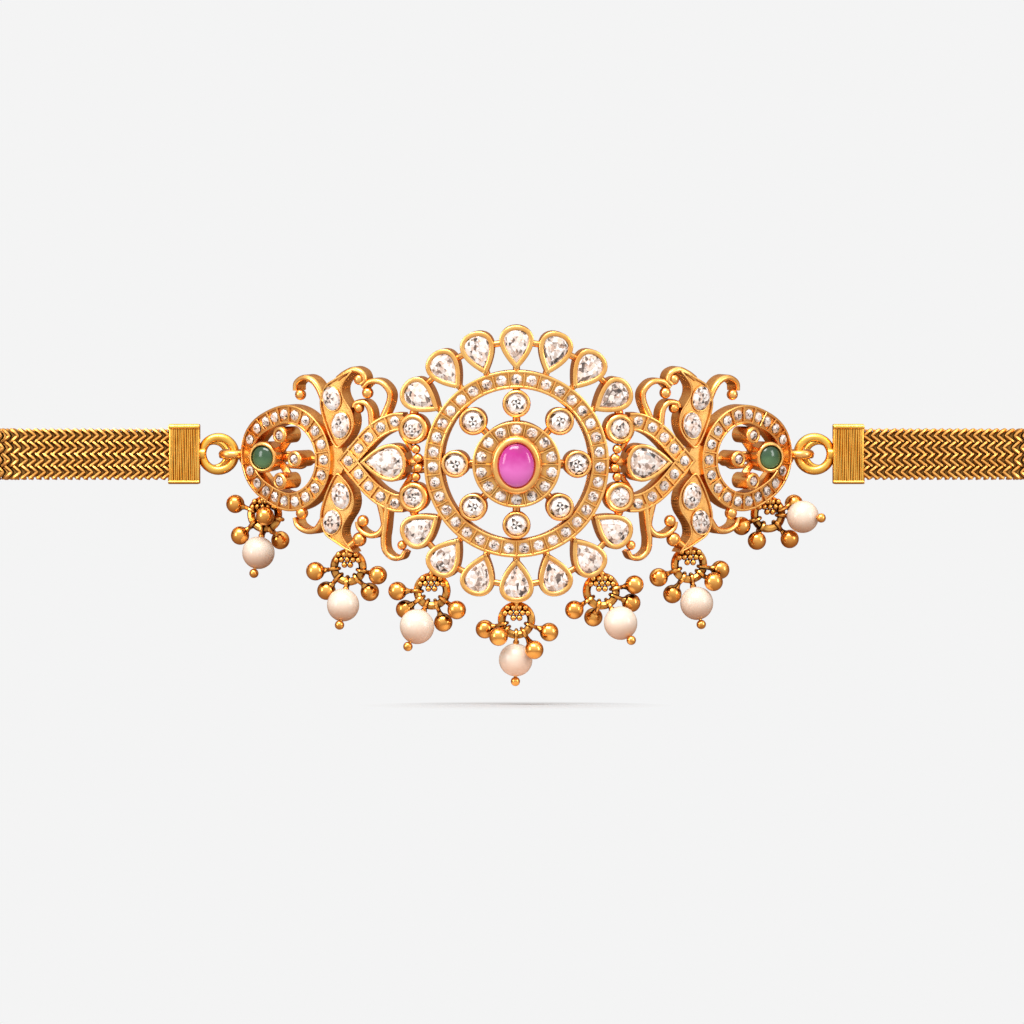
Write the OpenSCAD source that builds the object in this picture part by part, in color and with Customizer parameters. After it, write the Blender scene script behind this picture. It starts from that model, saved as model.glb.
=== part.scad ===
// Bajuband, an upper-arm band: a pierced and stone-set gold ornament arched to the arm, seven bead
// drops under it, a woven band at either side that turns back, and a closing chain and hook behind.
// Millimetres. +Z is up, the ornament faces -Y, and the origin is the middle of the loop, where the
// arm goes through. A place on the ornament is given as [u, v]: u is measured round the arch from
// its middle, positive to the viewer's right, and v is up it. h is the height over the stones' faces.

/* [Arch] */
// Radius of the arch at the level of the stones' faces
arch_r = 45; // [44:1:47]
// Forward lean of the ornament about its two end bails, degrees
lean = 4.5; // [3:0.5:6]

/* [Medallion] */
// Outer radius of the channel ring
ring_outer_r = 11.75; // [11.6:0.05:11.8]
// Inner radius of the channel ring
ring_inner_r = 9.45; // [9.3:0.05:9.5]
// Stones in the channel ring
ring_stones = 35; // [30:1:36]
// Outer radius of the halo round the ruby
halo_r = 5.4; // [5.3:0.05:5.5]
// Stones in the halo
halo_stones = 14; // [12:1:14]
// Distance of the eight round stones from the middle
round_place_r = 7.6; // [7.5:0.05:7.7]
// Half width and half height of the ruby
ruby_half = [2.2, 2.75];

/* [Crown] */
// Radius of the outermost point of the crown of pears
crown_r = 17.4; // [17.3:0.05:17.5]
// Half length of a pear setting
pear_half = 2.81; // [2.75:0.01:2.85]
// Angle between neighbouring pears, degrees
pear_pitch = 18.6; // [18.4:0.1:18.8]

/* [Drops] */
// Radius of a drop's ring, at the middle of its wire
bail_r = 1.85; // [1.8:0.05:1.9]
// Radius of a gold ball
ball_r = 1.18; // [1.1:0.02:1.2]
// Distance from a drop's ring to its pearl's middle
pearl_reach = 3.15; // [3.1:0.05:3.3]

/* [Band] */
// Height of the woven band
band_h = 6.2; // [5.8:0.1:6.4]
// Thickness of the woven band
band_t = 2; // [1.8:0.1:2.2]
// Distance from the middle to where the band turns back
turn_x = 62.5; // [58:0.5:70]
// Radius of the turn, at the middle of the band
turn_r = 6.5; // [6:0.5:8]
// Width, depth and height of an end cap
cap = [3.9, 3.4, 7.6];

/* [Closure] */
// Links in each half of the closing chain
chain_links = 12; // [10:2:12]
// Distance from the middle to the back end caps
back_cap_x = 41; // [40:0.5:44]
// Sag of the chain at its middle
chain_sag = 1.4; // [1:0.1:2]

/* [Hidden] */
$fn = 48;
gap = 0.05;            // clearance of a stone in its setting
back_h = -2;           // back of the ornament
floor_h = -0.4;        // floor of the channels and leaves
rim_h = 0.1;           // top of the rims and bars
setting_h = 0.4;       // top of the pear settings
seat_h = -1.45;        // floor of the pockets under the stones
wall = 0.45;           // wall of a setting
channel_half = 1.15;   // half width of a channel
rim_half = 0.8;        // half width of the channel inside its rims
bar_w = 0.22;          // width of the bars between the small stones
pave_r = 0.55;         // radius of a small stone
halo_floor_h = 1.0;    // floor of the halo
bezel_h = 2.6;         // top of the ruby's bezel
halo_bar_from = 2.7;   // where the halo's bars start, inside the bezel's wall
round_h = 0.95;        // top of the round settings
round_r = 1.75;        // outer radius of a round setting
ring_mid_r = (ring_outer_r + ring_inner_r) / 2;
pear_place_r = crown_r - pear_half;
hinge_y = -turn_r;     // the end bails' line, about which the ornament leans
arch_y = hinge_y + 27; // middle of the arch, which sets how far it stands out of the band
heart_u = 17.8;        // where the flat plate of the heart touches the arch
leaf_u = 23.6;         // where the flat plate of the leaves and scrolls touches it
eye_u = 32;            // where the flat plate of the end eye touches it
plate_drop = 0.2;      // how far a flat plate is sunk there
eye_mid = 31.3;        // middle of the end eye
rim_inset = 0.03;      // how far the rims stand in from a plate's edge

// Angle round the arch of a length along it
function arc_deg(u) = u / arch_r * 180 / PI;
// A place on the arch before it leans
function arch_point(u, v, h) =
    [(arch_r + h) * sin(arc_deg(u)), arch_y - (arch_r + h) * cos(arc_deg(u)), v];
// A point turned forward about the line of the end bails
function leaned_point(p) = [
    p[0],
    hinge_y + (p[1] - hinge_y) * cos(lean) - p[2] * sin(lean),
    (p[1] - hinge_y) * sin(lean) + p[2] * cos(lean)
];
// An outline seen along the arch's own normal at from_u
function seen_flat(points, from_u) =
    [for (q = points) [arch_r * sin(arc_deg(q[0] - from_u)), q[1]]];

function unit2(a) = a / norm(a);
function direction(path, i) = unit2(path[min(i + 1, len(path) - 1)] - path[max(i - 1, 0)]);
function beside(path, i, w) = path[i] + w * [-direction(path, i)[1], direction(path, i)[0]];
// A strip of half width w along a path
function strip(path, w) = concat(
    [for (i = [0 : len(path) - 1]) beside(path, i, w)],
    [for (i = [len(path) - 1 : -1 : 0]) beside(path, i, -w)]);
// One point of a smooth curve through a, b, c and d, between b and c
function between(a, b, c, d, t) = 0.5 * ((2 * b) + (c - a) * t
    + (2 * a - 5 * b + 4 * c - d) * t * t + (3 * b - a - 3 * c + d) * t * t * t);
// A smooth open curve through a few points, with n steps a stretch
function smooth(p, n = 3) = concat(
    [for (i = [0 : len(p) - 2], k = [0 : n - 1])
        between(p[max(i - 1, 0)], p[i], p[i + 1], p[min(i + 2, len(p) - 1)], k / n)],
    [p[len(p) - 1]]);
// A smooth closed curve through a few points
function smooth_loop(p, n = 2) = let (c = len(p)) [for (i = [0 : c - 1], k = [0 : n - 1])
    between(p[(i + c - 1) % c], p[i], p[(i + 1) % c], p[(i + 2) % c], k / n)];
function mirrored_v(p) = [for (q = p) [q[0], -q[1]]];

// Outlines about their own middle
function oval(a, b, n) = [for (i = [0 : n - 1]) [a * cos(360 * i / n), b * sin(360 * i / n)]];
// A pear, its round end up and its point down
function pear(half, n) = [for (i = [0 : n - 1]) let (t = 360 * i / n)
    [half * sin(t) * sin(t / 2), -half * cos(t)]];
// The pear that leaves an even wall inside another, and how far its middle is above that one's
function pear_inside(half, w) = half - 1.207 * w;
function pear_rise(w) = 0.207 * w;

// The heart's arm from its point to its lobe, as [u, v] of its middle line
heart_arm = [[22.9, -0.8], [22.1, 0], [20.7, 1.5], [19.27, 3.0], [17.6, 4.3], [15.8, 5.05], [14.5, 5.1]];
heart_lobe = [13.15, 4.3];
heart_stones = [[22.1, 0], [20.6, 1.62], [19.2, 3.05], [17.55, 4.35], [15.6, 5.15]];
heart_pear_at = [16.85, 0];
heart_pear_half = 3.1;
// The leaf's outline, and its two stones as [u, v, half width, half height, turn]
leaf = [[23.8, 1.6], [25.3, 4.2], [26.1, 6.6], [26.0, 8.2], [25.3, 9.5], [24.0, 10.3], [22.5, 11.1],
    [21.2, 11.5], [22.3, 10.2], [22.8, 9.3], [22.7, 8.3], [22.1, 7.3], [21.4, 6.3], [21.1, 5.0],
    [21.5, 3.5], [22.6, 2.2]];
leaf_stones = [[24.45, 7.75, 1.2, 1.45, -18], [23.15, 4.5, 1.2, 1.6, 14]];
// The scrolls of the upper and of the lower half, each a curve and the [u, v, radius] of its ball
upper_scrolls = [
    [[[25.8, 7.4], [26.6, 9.0], [27.65, 10.0], [29.0, 10.25], [30.15, 9.6], [30.3, 8.6]],
        [29.6, 8.1, 0.72]],
    [[[23.6, 10.3], [22.6, 11.0], [21.3, 11.5], [20.1, 11.1], [19.75, 10.2], [20.3, 9.7]],
        [20.65, 10.3, 0.72]],
    [[[17.3, 5.6], [16.4, 7.6], [16.4, 8.9], [17.5, 10.0], [19.0, 10.1], [20.0, 9.3]], [19.45, 8.65, 0.75]],
    [[[18.8, 4.3], [19.0, 6.4], [19.8, 7.4], [20.95, 7.35], [21.25, 6.8]], [20.65, 6.7, 0.66]]];
lower_scrolls = [
    [[[25.8, -7.3], [27.0, -8.8], [28.6, -9.1], [30.0, -8.5], [30.4, -7.5]], [29.4, -6.9, 0.8]],
    [[[22.2, -10.9], [21.6, -10.4], [21.1, -10.0]], [20.65, -9.85, 0.92]],
    [[[17.7, -5.3], [17.3, -6.9], [17.2, -8.1], [18.05, -9.1], [19.4, -9.25], [20.6, -8.5], [20.9, -7.6]],
        [20.15, -7.5, 0.76]],
    [[[16.7, -5.2], [17.0, -8.2], [17.2, -9.7], [17.0, -11.1], [16.0, -12.0], [14.8, -11.9], [14.3, -11.1]],
        [14.75, -10.4, 0.62]]];
scroll_half = 0.4;
// The plate where the heart, the leaves and the eye meet
meeting = [[22.6, 0], [23.6, 2.4], [25.1, 1.6], [25.1, -1.6], [23.6, -2.4]];
// The end eye's settings as [u, v, outer radius, stone radius, top]
eye_settings = [[29.5, 0, 1.1, 0.62, 1.2], [31.9, 2.9, 1.1, 0.62, 1.2], [31.9, -2.9, 1.1, 0.62, 1.2],
    [37.35, 0, 0.85, 0.5, 0.5]];
emerald_at = [34.6, 0];
emerald_r = 1.38;
emerald_wall_r = 1.85;
emerald_h = 1.5;
eye_stones = 20;

// The end eye's edges round eye_mid: a circle drawn out to a point away from the middle
function eye_edge(r, point) = [for (i = [0 : 31]) let (t = 360 * i / 32)
    [eye_mid, 0] + (r + point * pow(max(0, cos(t)), 4)) * [cos(t), sin(t)]];
eye_out = 6.75;
eye_in = 4.35;
eye_out_point = 1.95;
eye_in_point = 2.3;
// The angle of the eye's i-th stone, closer together towards the point
function eye_turn(i) = let (s = 360 * i / eye_stones) s - 8 * sin(s);
function eye_place(t, r) = [eye_mid, 0] + r * [cos(t), sin(t)];
eye_mid_r = (eye_out + eye_in) / 2;
eye_mid_point = (eye_out_point + eye_in_point) / 2;

// The drops: [u, v] of the eyelet, turn towards the arch, the four balls as [round the ring,
// towards the viewer, reach] and the pearl as [round the ring, towards the viewer, radius]
drops = [
    [[-36.8, -5.62], -20, [[162, 0, 2.4], [-140, 10, 2.4], [-16, 112, 2.4], [-66, -43, 2.4]],
        [-97, 14, 2.1]],
    [[-22.7, -11.65], -12, [[-173, 16, 2.4], [-135, -12, 2.4], [-51, -26, 2.4], [-14, 20, 2.4]],
        [-95, 22, 2.08]],
    [[-11, -14.3], -6, [[180, 0, 2.5], [-147, -25, 2.6], [-71, -15, 2.4], [-36, 26, 2.4]],
        [-112, 20, 2.2]],
    [[0, -17.85], 0, [[-164, -20, 2.4], [-138, 61, 2.4], [-59, 38, 3.1], [-20, 0, 2.5]], [-91, -8, 2.12]],
    [[11.05, -14.3], 7, [[-146, 12, 2.4], [-103, -50, 2.4], [-21, -16, 2.4], [11, 12, 2.4]],
        [-61, 29, 2.12]],
    [[23.4, -11.36], 12, [[-158, 0, 2.4], [-118, -20, 2.5], [-38, 47, 2.4], [-9, -12, 2.4]], [-80, 10, 2.1]],
    [[36.8, -5.62], 20, [[-159, 16, 2.4], [-121, 31, 2.4], [-50, 20, 2.4], [19, -20, 2.4]],
        [-5, 52, 2.05]]];
eyelet_r = 0.75;
eyelet_wire = 0.24;
eyelet_h = -1.2;
bail_wire = 0.36;
loop_r = 0.68;
loop_wire = 0.16;
loop_shift = 0.05;
pin_wire = 0.2;
pin_bead_r = 0.6;
drill_r = 0.3;
// The grains on the front of a drop's ring, as [x, z] about its middle, on the right-hand side
grains = [[0.98, 0.88], [0.6, 1.18], [0.68, 0.42], [0.32, 0.5]];
grain_r = 0.3;

// Turns its children forward about the line of the end bails
module leaned() {
    translate([0, hinge_y, 0]) rotate([lean, 0, 0]) translate([0, -hinge_y, 0]) children();
}

// Stands its children on the arch, with their +Z outwards and +Y up
module on_arch(at, h = 0) {
    leaned() translate([0, arch_y, 0]) rotate([0, 0, arc_deg(at[0])])
        translate([0, -(arch_r + h), at[1]]) rotate([90, 0, 0]) children();
}

// The layer of the arch between two heights, where its children reach
module arch_layer(low, high) {
    intersection() {
        leaned() translate([0, arch_y, 0]) difference() {
            cylinder(r = arch_r + high, h = 60, center = true);
            cylinder(r = arch_r + low, h = 62, center = true);
        }
        children();
    }
}

// A flat plate that touches the arch at from_u, between two heights, cut to an outline
module plate(from_u, low, high) {
    on_arch([from_u, 0], low - plate_drop) linear_extrude(height = high - low)
        offset(delta = 0.001) children();
}

// The rims of a flat plate: what its first child has and its second lacks, and bars as its third
module plate_rims(from_u) {
    plate(from_u, floor_h - 0.2, rim_h) offset(delta = -rim_inset) {
        difference() {
            children(0);
            children(1);
        }
        if ($children > 2) children(2);
    }
}

// Its children, and the same on the other side
module both_sides() {
    children();
    mirror([1, 0, 0]) children();
}

module annulus(r_out, r_in) {
    difference() {
        circle(r = r_out);
        circle(r = r_in);
    }
}

// A ring of the medallion, cut from a layer of the arch
module arched_ring(r_out, r_in, low, high) {
    arch_layer(low, high) on_arch([0, 0], -5) linear_extrude(height = 8) annulus(r_out, r_in);
}

module channel_ring() {
    arched_ring(ring_outer_r, ring_inner_r, back_h, floor_h);
    arched_ring(ring_outer_r - rim_inset, ring_outer_r - 0.35, floor_h - 0.2, rim_h);
    arched_ring(ring_inner_r + 0.38, ring_inner_r + rim_inset, floor_h - 0.2, rim_h);
    for (i = [0 : ring_stones - 1]) let (t = 360 * (i + 0.5) / ring_stones)
        on_arch(ring_mid_r * [sin(t), cos(t)], floor_h - 0.15) rotate(-t)
            translate([-bar_w / 2, -0.95]) cube([bar_w, 1.9, rim_h - floor_h + 0.1]);
}

module heart_arms(half) {
    for (arm = [heart_arm, mirrored_v(heart_arm)]) polygon(seen_flat(strip(smooth(arm), half), heart_u));
}

module heart_bars() {
    for (side = [1, -1], i = [0 : len(heart_stones) - 2]) let (
        at = (heart_stones[i] + heart_stones[i + 1]) / 2,
        along = unit2(heart_stones[i + 1] - heart_stones[i]),
        across = (channel_half - 0.1) * [-along[1], along[0]])
        polygon(seen_flat([for (q = strip([at + across, at - across], bar_w / 2))
            [q[0], side * q[1]]], heart_u));
}

module heart() {
    plate(heart_u, back_h, floor_h) {
        heart_arms(channel_half);
        polygon(seen_flat(meeting, heart_u));
        for (side = [1, -1])
            translate(seen_flat([[heart_lobe[0], side * heart_lobe[1]]], heart_u)[0]) circle(r = 1.45);
    }
    plate_rims(heart_u) {
        heart_arms(channel_half);
        heart_arms(rim_half);
        heart_bars();
    }
}

module leaf_outline() {
    for (side = [1, -1]) polygon(seen_flat([for (q = smooth_loop(leaf)) [q[0], side * q[1]]], leaf_u));
}

module scroll_outline(half) {
    for (s = concat(upper_scrolls, lower_scrolls)) polygon(seen_flat(strip(smooth(s[0]), half), leaf_u));
}

module leaves_and_scrolls() {
    plate(leaf_u, back_h, floor_h) {
        leaf_outline();
        polygon(seen_flat(meeting, leaf_u));
    }
    plate_rims(leaf_u) {
        leaf_outline();
        offset(delta = -0.3) leaf_outline();
    }
    plate(leaf_u, back_h + 0.05, rim_h - 0.1) scroll_outline(scroll_half);
    for (s = concat(upper_scrolls, lower_scrolls)) on_arch([s[1][0], s[1][1]], -0.6) sphere(r = s[1][2]);
}

module eye_shape(r, point) {
    polygon(seen_flat(eye_edge(r, point), eye_u));
}

module eye_bars() {
    for (i = [0 : eye_stones - 1]) let (
        t = (eye_turn(i) + eye_turn(i + 1)) / 2,
        point = pow(max(0, cos(t)), 4),
        line = [eye_place(t, eye_in + 0.1 + eye_in_point * point),
            eye_place(t, eye_out - 0.1 + eye_out_point * point)])
        polygon(seen_flat(strip(line, bar_w / 2), eye_u));
}

module end_eye() {
    plate(eye_u, back_h, floor_h) difference() {
        eye_shape(eye_out, eye_out_point);
        eye_shape(eye_in, eye_in_point);
    }
    plate_rims(eye_u) {
        difference() {
            eye_shape(eye_out, eye_out_point);
            eye_shape(eye_in, eye_in_point);
        }
        difference() {
            eye_shape(eye_out - 0.33, eye_out_point);
            eye_shape(eye_in + 0.35, eye_in_point);
        }
        eye_bars();
    }
    plate(eye_u, back_h + 0.1, back_h + 1) eye_bridge();
    for (s = eye_settings) round_setting([s[0], s[1]], s[2], s[3], s[4], 0.9);
    round_setting(emerald_at, emerald_wall_r, emerald_r, emerald_h, 1.2);
}

// The trefoil that carries the eye's settings
module eye_bridge() {
    for (s = eye_settings) polygon(seen_flat(strip([emerald_at, [s[0], s[1]]], 0.5), eye_u));
    polygon(seen_flat(strip([[25.6, 0], [29.6, 0]], 0.4), eye_u));
}

// A pear setting with its pocket, its point away from its turned +Y
module pear_setting(at, turn, half, top) {
    on_arch(at) rotate(turn) difference() {
        translate([0, 0, back_h]) linear_extrude(height = top - back_h) polygon(pear(half, 24));
        translate([0, pear_rise(wall), top + seat_h - setting_h]) linear_extrude(height = 4)
            polygon(pear(pear_inside(half, wall) + gap, 24));
    }
}

// A round setting with its pocket
module round_setting(at, outer, stone, top, depth) {
    on_arch(at) difference() {
        translate([0, 0, back_h]) cylinder(r = outer, h = top - back_h);
        translate([0, 0, top - depth]) cylinder(r = stone + gap, h = 4);
    }
}

function crown_turn(i) = i < 7 ? (i - 3) * pear_pitch : 180 + (i - 10) * pear_pitch;
function round_at(i) = round_place_r * [sin(45 * i), cos(45 * i)];

module crown() {
    for (i = [0 : 13]) let (t = crown_turn(i)) {
        pear_setting(pear_place_r * [sin(t), cos(t)], -t, pear_half, setting_h);
        on_arch((ring_outer_r + 0.4) * [sin(t), cos(t)]) rotate(-t)
            translate([-0.4, -0.8, back_h + 0.2]) cube([0.8, 1.6, 1.3]);
    }
    for (half = [0, 1], i = [0 : 5]) let (t = crown_turn(7 * half + i) + pear_pitch / 2)
        on_arch(15.35 * [sin(t), cos(t)]) rotate(-t)
            translate([-0.7, -0.35, back_h + 0.3]) cube([1.4, 0.7, 1.2]);
}

module halo() {
    on_arch([0, 0]) difference() {
        union() {
            translate([0, 0, back_h + 0.2]) cylinder(r = halo_r, h = halo_floor_h - back_h - 0.2);
            translate([0, 0, halo_floor_h - 0.2]) linear_extrude(height = 0.65) halo_rims();
            translate([0, 0, halo_floor_h - 0.2]) linear_extrude(height = bezel_h - halo_floor_h + 0.2)
                polygon(oval(ruby_half[0] + 0.7, ruby_half[1] + 0.7, 32));
        }
        translate([0, 0, halo_floor_h]) linear_extrude(height = 4)
            polygon(oval(ruby_half[0] + gap, ruby_half[1] + gap, 32));
    }
}

module medallion() {
    channel_ring();
    halo();
    for (i = [0 : 7]) {
        round_setting(round_at(i), round_r, 1.32, round_h, 1.8);
        on_arch(7.3 * [sin(45 * i), cos(45 * i)]) rotate(-45 * i)
            translate([-0.45, -2.9, back_h + 0.1]) cube([0.9, 5.6, 0.9]);
    }
}

module halo_rims() {
    annulus(halo_r, halo_r - 0.3);
    for (i = [0 : halo_stones - 1]) rotate(360 * (i + 0.5) / halo_stones)
        translate([-bar_w / 2, halo_bar_from]) square([bar_w, halo_r - 0.1 - halo_bar_from]);
}

module wing_settings() {
    pear_setting(heart_pear_at, 90, heart_pear_half, 1.0);
    on_arch([12.75, 0]) translate([-1.3, -0.5, back_h + 0.3]) cube([2.6, 1, 1.5]);
    for (side = [1, -1]) {
        round_setting([heart_lobe[0], side * heart_lobe[1]], 1.55, 1.12, 0.45, 0.85);
        on_arch([14.3, side * 2.5]) rotate(side * 40)
            translate([-0.35, -1.2, back_h + 0.3]) cube([0.7, 2.4, 1.6]);
        on_arch([12.7, side * 0.66], -0.1) sphere(r = 0.7);
        for (s = leaf_stones) on_arch([s[0], side * s[1]], back_h + 0.3) rotate(side * s[4])
            difference() {
                linear_extrude(height = 2.15) polygon(oval(s[2] + 0.3, s[3] + 0.3, 24));
                translate([0, 0, 1.3]) linear_extrude(height = 4) polygon(oval(s[2] + gap, s[3] + gap, 24));
            }
        on_arch([13.3, side * 6.25]) translate([-0.5, -0.6, back_h + 0.3]) cube([1, 1.2, 1.3]);
    }
}

// The tab and bail at the end eye's point, which holds the front cap's ring
module end_bail() {
    translate([bail_x, hinge_y, 0]) rotate_extrude() translate([end_bail_r, 0]) circle(r = end_bail_wire);
    leaned() translate([bail_x - 1.9, hinge_y - 1.3, -0.6]) cube([0.9, 2, 1.2]);
}
bail_x = 36.1;
end_bail_r = 1.3;
end_bail_wire = 0.48;
front_ring_r = 2.1;
ring_wire = 0.52;

function eyelet_at(d) = leaned_point(arch_point(d[0][0], d[0][1], eyelet_h));

module eyelets() {
    for (d = drops) translate(eyelet_at(d)) rotate([0, 0, d[1]]) rotate([0, 90, 0])
        rotate_extrude() translate([eyelet_r, 0]) circle(r = eyelet_wire);
}

module ornament_frame() {
    color("goldenrod") {
        medallion();
        crown();
        both_sides() {
            heart();
            leaves_and_scrolls();
            end_eye();
            wing_settings();
            end_bail();
        }
        eyelets();
    }
}

// A cut stone on an outline about its middle: a table, a crown of facets and a pointed pavilion
module cut_stone(outline, crown, pavilion, table = 0.6) {
    n = len(outline);
    points = concat(
        [for (q = outline) [q[0] * table, q[1] * table, crown]],
        [for (q = outline) [q[0], q[1], 0]],
        [[0, 0, -pavilion]]);
    faces = concat(
        [[for (i = [n - 1 : -1 : 0]) i]],
        [for (i = [0 : n - 1]) [i, (i + 1) % n, n + (i + 1) % n, n + i]],
        [for (i = [0 : n - 1]) [n + i, n + (i + 1) % n, 2 * n]]);
    polyhedron(points = points, faces = faces);
}

// A small stone that lies on the floor of a channel
module pave_stone(r = pave_r) {
    translate([0, 0, gap + 0.28]) cut_stone(oval(r, r, 8), 0.2, 0.26);
}

// A small stone on a flat plate
module plate_stone(from_u, at) {
    on_arch([from_u, 0], floor_h - plate_drop) translate(seen_flat([at], from_u)[0]) pave_stone();
}

module crown_pear(i) {
    t = crown_turn(i);
    color("white") on_arch(pear_place_r * [sin(t), cos(t)]) rotate(-t)
        translate([0, pear_rise(wall), 0]) cut_stone(pear(pear_inside(pear_half, wall), 16), 0.3, 1.3);
}

module round_stone(i) {
    color("white") on_arch(round_at(i), round_h - 0.35) cut_stone(oval(1.32, 1.32, 16), 0.35, 1.3);
}

module ruby() {
    color("mediumvioletred") on_arch([0, 0], halo_floor_h + gap)
        cabochon(ruby_half[0], ruby_half[1], 1.3, 2.3);
}

module emerald() {
    color("seagreen") on_arch(emerald_at, emerald_h - 1.2 + gap) cabochon(emerald_r, emerald_r, 0.8, 1.5);
}

// An oval dome on a straight girdle, in rings from its flat base up
module cabochon(a, b, girdle, height, n = 24, rows = 4) {
    rings = concat([[1, 0]], [for (k = [0 : rows - 1])
        [cos(90 * k / rows), girdle + (height - girdle) * sin(90 * k / rows)]]);
    points = concat([for (r = rings, q = oval(a, b, n)) [q[0] * r[0], q[1] * r[0], r[1]]],
        [[0, 0, height]]);
    faces = concat(
        [[for (i = [0 : n - 1]) i]],
        [for (k = [0 : rows - 1], i = [0 : n - 1])
            [k * n + i, (k + 1) * n + i, (k + 1) * n + (i + 1) % n, k * n + (i + 1) % n]],
        [for (i = [0 : n - 1]) [rows * n + i, len(points) - 1, rows * n + (i + 1) % n]]);
    polyhedron(points = points, faces = faces);
}

module heart_stones() {
    color("white") {
        on_arch(heart_pear_at, 0.6) rotate(90) translate([0, pear_rise(wall), 0])
            cut_stone(pear(pear_inside(heart_pear_half, wall), 16), 0.35, 1.35);
        for (side = [1, -1]) on_arch([heart_lobe[0], side * heart_lobe[1]], 0.2)
            cut_stone(oval(1.12, 1.12, 16), 0.3, 0.5);
    }
}

module leaf_stones() {
    color("white") for (side = [1, -1], s = leaf_stones)
        on_arch([s[0], side * s[1]], 0.2) rotate(side * s[4]) cut_stone(oval(s[2], s[3], 12), 0.35, 0.5);
}

module eye_stones() {
    color("white") for (s = eye_settings)
        on_arch([s[0], s[1]], s[4] - 0.25) cut_stone(oval(s[3], s[3], 8), 0.2, 0.35);
}

module wing_pave() {
    color("white") {
        plate_stone(heart_u, heart_stones[0]);
        for (side = [1, -1], i = [1 : 4])
            plate_stone(heart_u, [heart_stones[i][0], side * heart_stones[i][1]]);
        for (i = [0 : eye_stones - 1]) let (t = eye_turn(i))
            plate_stone(eye_u, eye_place(t, eye_mid_r + eye_mid_point * pow(max(0, cos(t)), 4)));
    }
}

module ring_pave() {
    color("white") for (i = [0 : ring_stones - 1]) let (t = 360 * i / ring_stones)
        on_arch(ring_mid_r * [sin(t), cos(t)], floor_h) pave_stone();
}

module halo_pave() {
    color("white") on_arch([0, 0], halo_floor_h) for (i = [0 : halo_stones - 1])
        rotate(360 * i / halo_stones) translate([0, 4.42]) pave_stone(0.5);
}

front_cap_x = 40.3;
// The band's middle line, from inside the front cap, out, round and back to inside the back cap
turn_steps = 20;
band_path = concat([[front_cap_x + cap[0] - 2, -turn_r]],
    [for (i = [0 : turn_steps]) let (t = -90 + 180 * i / turn_steps)
        [turn_x + turn_r * cos(t), turn_r * sin(t)]],
    [[back_cap_x + cap[0] - 2, turn_r]]);
strands = 4;

module woven_band() {
    pitch = band_h / strands;
    color("goldenrod") {
        translate([0, 0, -band_h / 2]) linear_extrude(height = band_h)
            polygon(strip(band_path, band_t / 2 - 0.3));
        for (i = [0 : strands - 1]) translate([0, 0, -band_h / 2 + (i + 0.5) * pitch - 0.55])
            linear_extrude(height = 1.1) polygon(strip(band_path, band_t / 2));
    }
}

// A box cap over a band's end, with a ring soldered on its closed side
module end_cap(x, y, ring_r, wire) {
    color("goldenrod") {
        difference() {
            translate([x, y - cap[1] / 2, -cap[2] / 2]) cube(cap);
            translate([x + cap[0] - 2 - gap, y - band_t / 2 - gap, -band_h / 2 - gap])
                cube([3, band_t + 2 * gap, band_h + 2 * gap]);
        }
        translate([x - ring_r - 0.25, y, 0]) rotate([90, 0, 0])
            rotate_extrude() translate([ring_r, 0]) circle(r = wire);
        translate([x - 0.75, y - 0.6, -1.1]) cube([1, 1.2, 2.2]);
    }
}

back_ring_r = 1.7;
back_wire = 0.42;
link_r = 0.85;
link_half = 0.8;
link_wire = 0.3;
link_slack = 0.1;
link_pitch = 2 * (link_half + link_r - link_wire) - link_slack;
first_link_x = back_cap_x - 2 * back_ring_r - 0.25 + back_wire + link_wire + 0.05 - link_half - link_r;
hook_r = 1.3;
hook_x = first_link_x - (chain_links - 1) * link_pitch - link_half - link_r - hook_r
    + back_wire + link_wire + 0.05;

// An oval wire link in the XY plane, long in X, as a few rings round its wire
module chain_link() {
    n = 16;
    m = 6;
    points = [for (i = [0 : n - 1], j = [0 : m - 1]) let (
        a = 360 * (i + 0.5) / n,
        b = 360 * j / m,
        r = link_r + link_wire * cos(b))
        [link_half * sign(cos(a)) + r * cos(a), r * sin(a), link_wire * sin(b)]];
    faces = [for (i = [0 : n - 1], j = [0 : m - 1])
        [i * m + j, i * m + (j + 1) % m, (i + 1) % n * m + (j + 1) % m, (i + 1) % n * m + j]];
    polyhedron(points = points, faces = faces);
}

// Half of the closing chain, from the ring of a back cap to the hook, which sags a little
module closing_chain() {
    color("goldenrod") for (i = [0 : chain_links - 1]) let (
        x = first_link_x - i * link_pitch,
        fall = chain_sag * (1 - pow(x / back_cap_x, 2)),
        slope = atan(2 * chain_sag * x / pow(back_cap_x, 2)))
        translate([x, turn_r, -fall]) rotate([0, -slope, 0])
            rotate([i % 2 == 0 ? 0 : 90, 0, 0]) chain_link();
}

// A plain wire hook: a straight shank with an open bow at each end that the chain hangs in
module clasp_hook() {
    color("goldenrod") translate([0, turn_r, -chain_sag]) {
        both_sides() translate([hook_x, 0, 0]) rotate([0, 0, 120])
            rotate_extrude(angle = 300) translate([hook_r, 0]) circle(r = back_wire);
        translate([hook_r - hook_x, 0, 0]) rotate([0, 90, 0])
            cylinder(r = back_wire, h = 2 * (hook_x - hook_r));
    }
}

// Turns its children about a drop's ring: round says where on the ring, and out how far they
// lean towards the viewer from the ring's own plane. They are drawn along +X from the wire.
module from_ring(round, out) {
    rotate([0, -round, 0]) translate([bail_r, 0, 0]) rotate([0, 0, -out]) children();
}

module wire_loop() {
    translate([loop_shift, 0, 0]) rotate_extrude() translate([loop_r, 0]) circle(r = loop_wire);
}

module ball_pin(reach) {
    wire_loop();
    translate([loop_r + loop_shift, 0, 0]) rotate([0, 90, 0])
        cylinder(r1 = 0.24, r2 = 0.72, h = reach - loop_r - loop_shift - 0.75);
    translate([reach, 0, 0]) sphere(r = ball_r);
}

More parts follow.
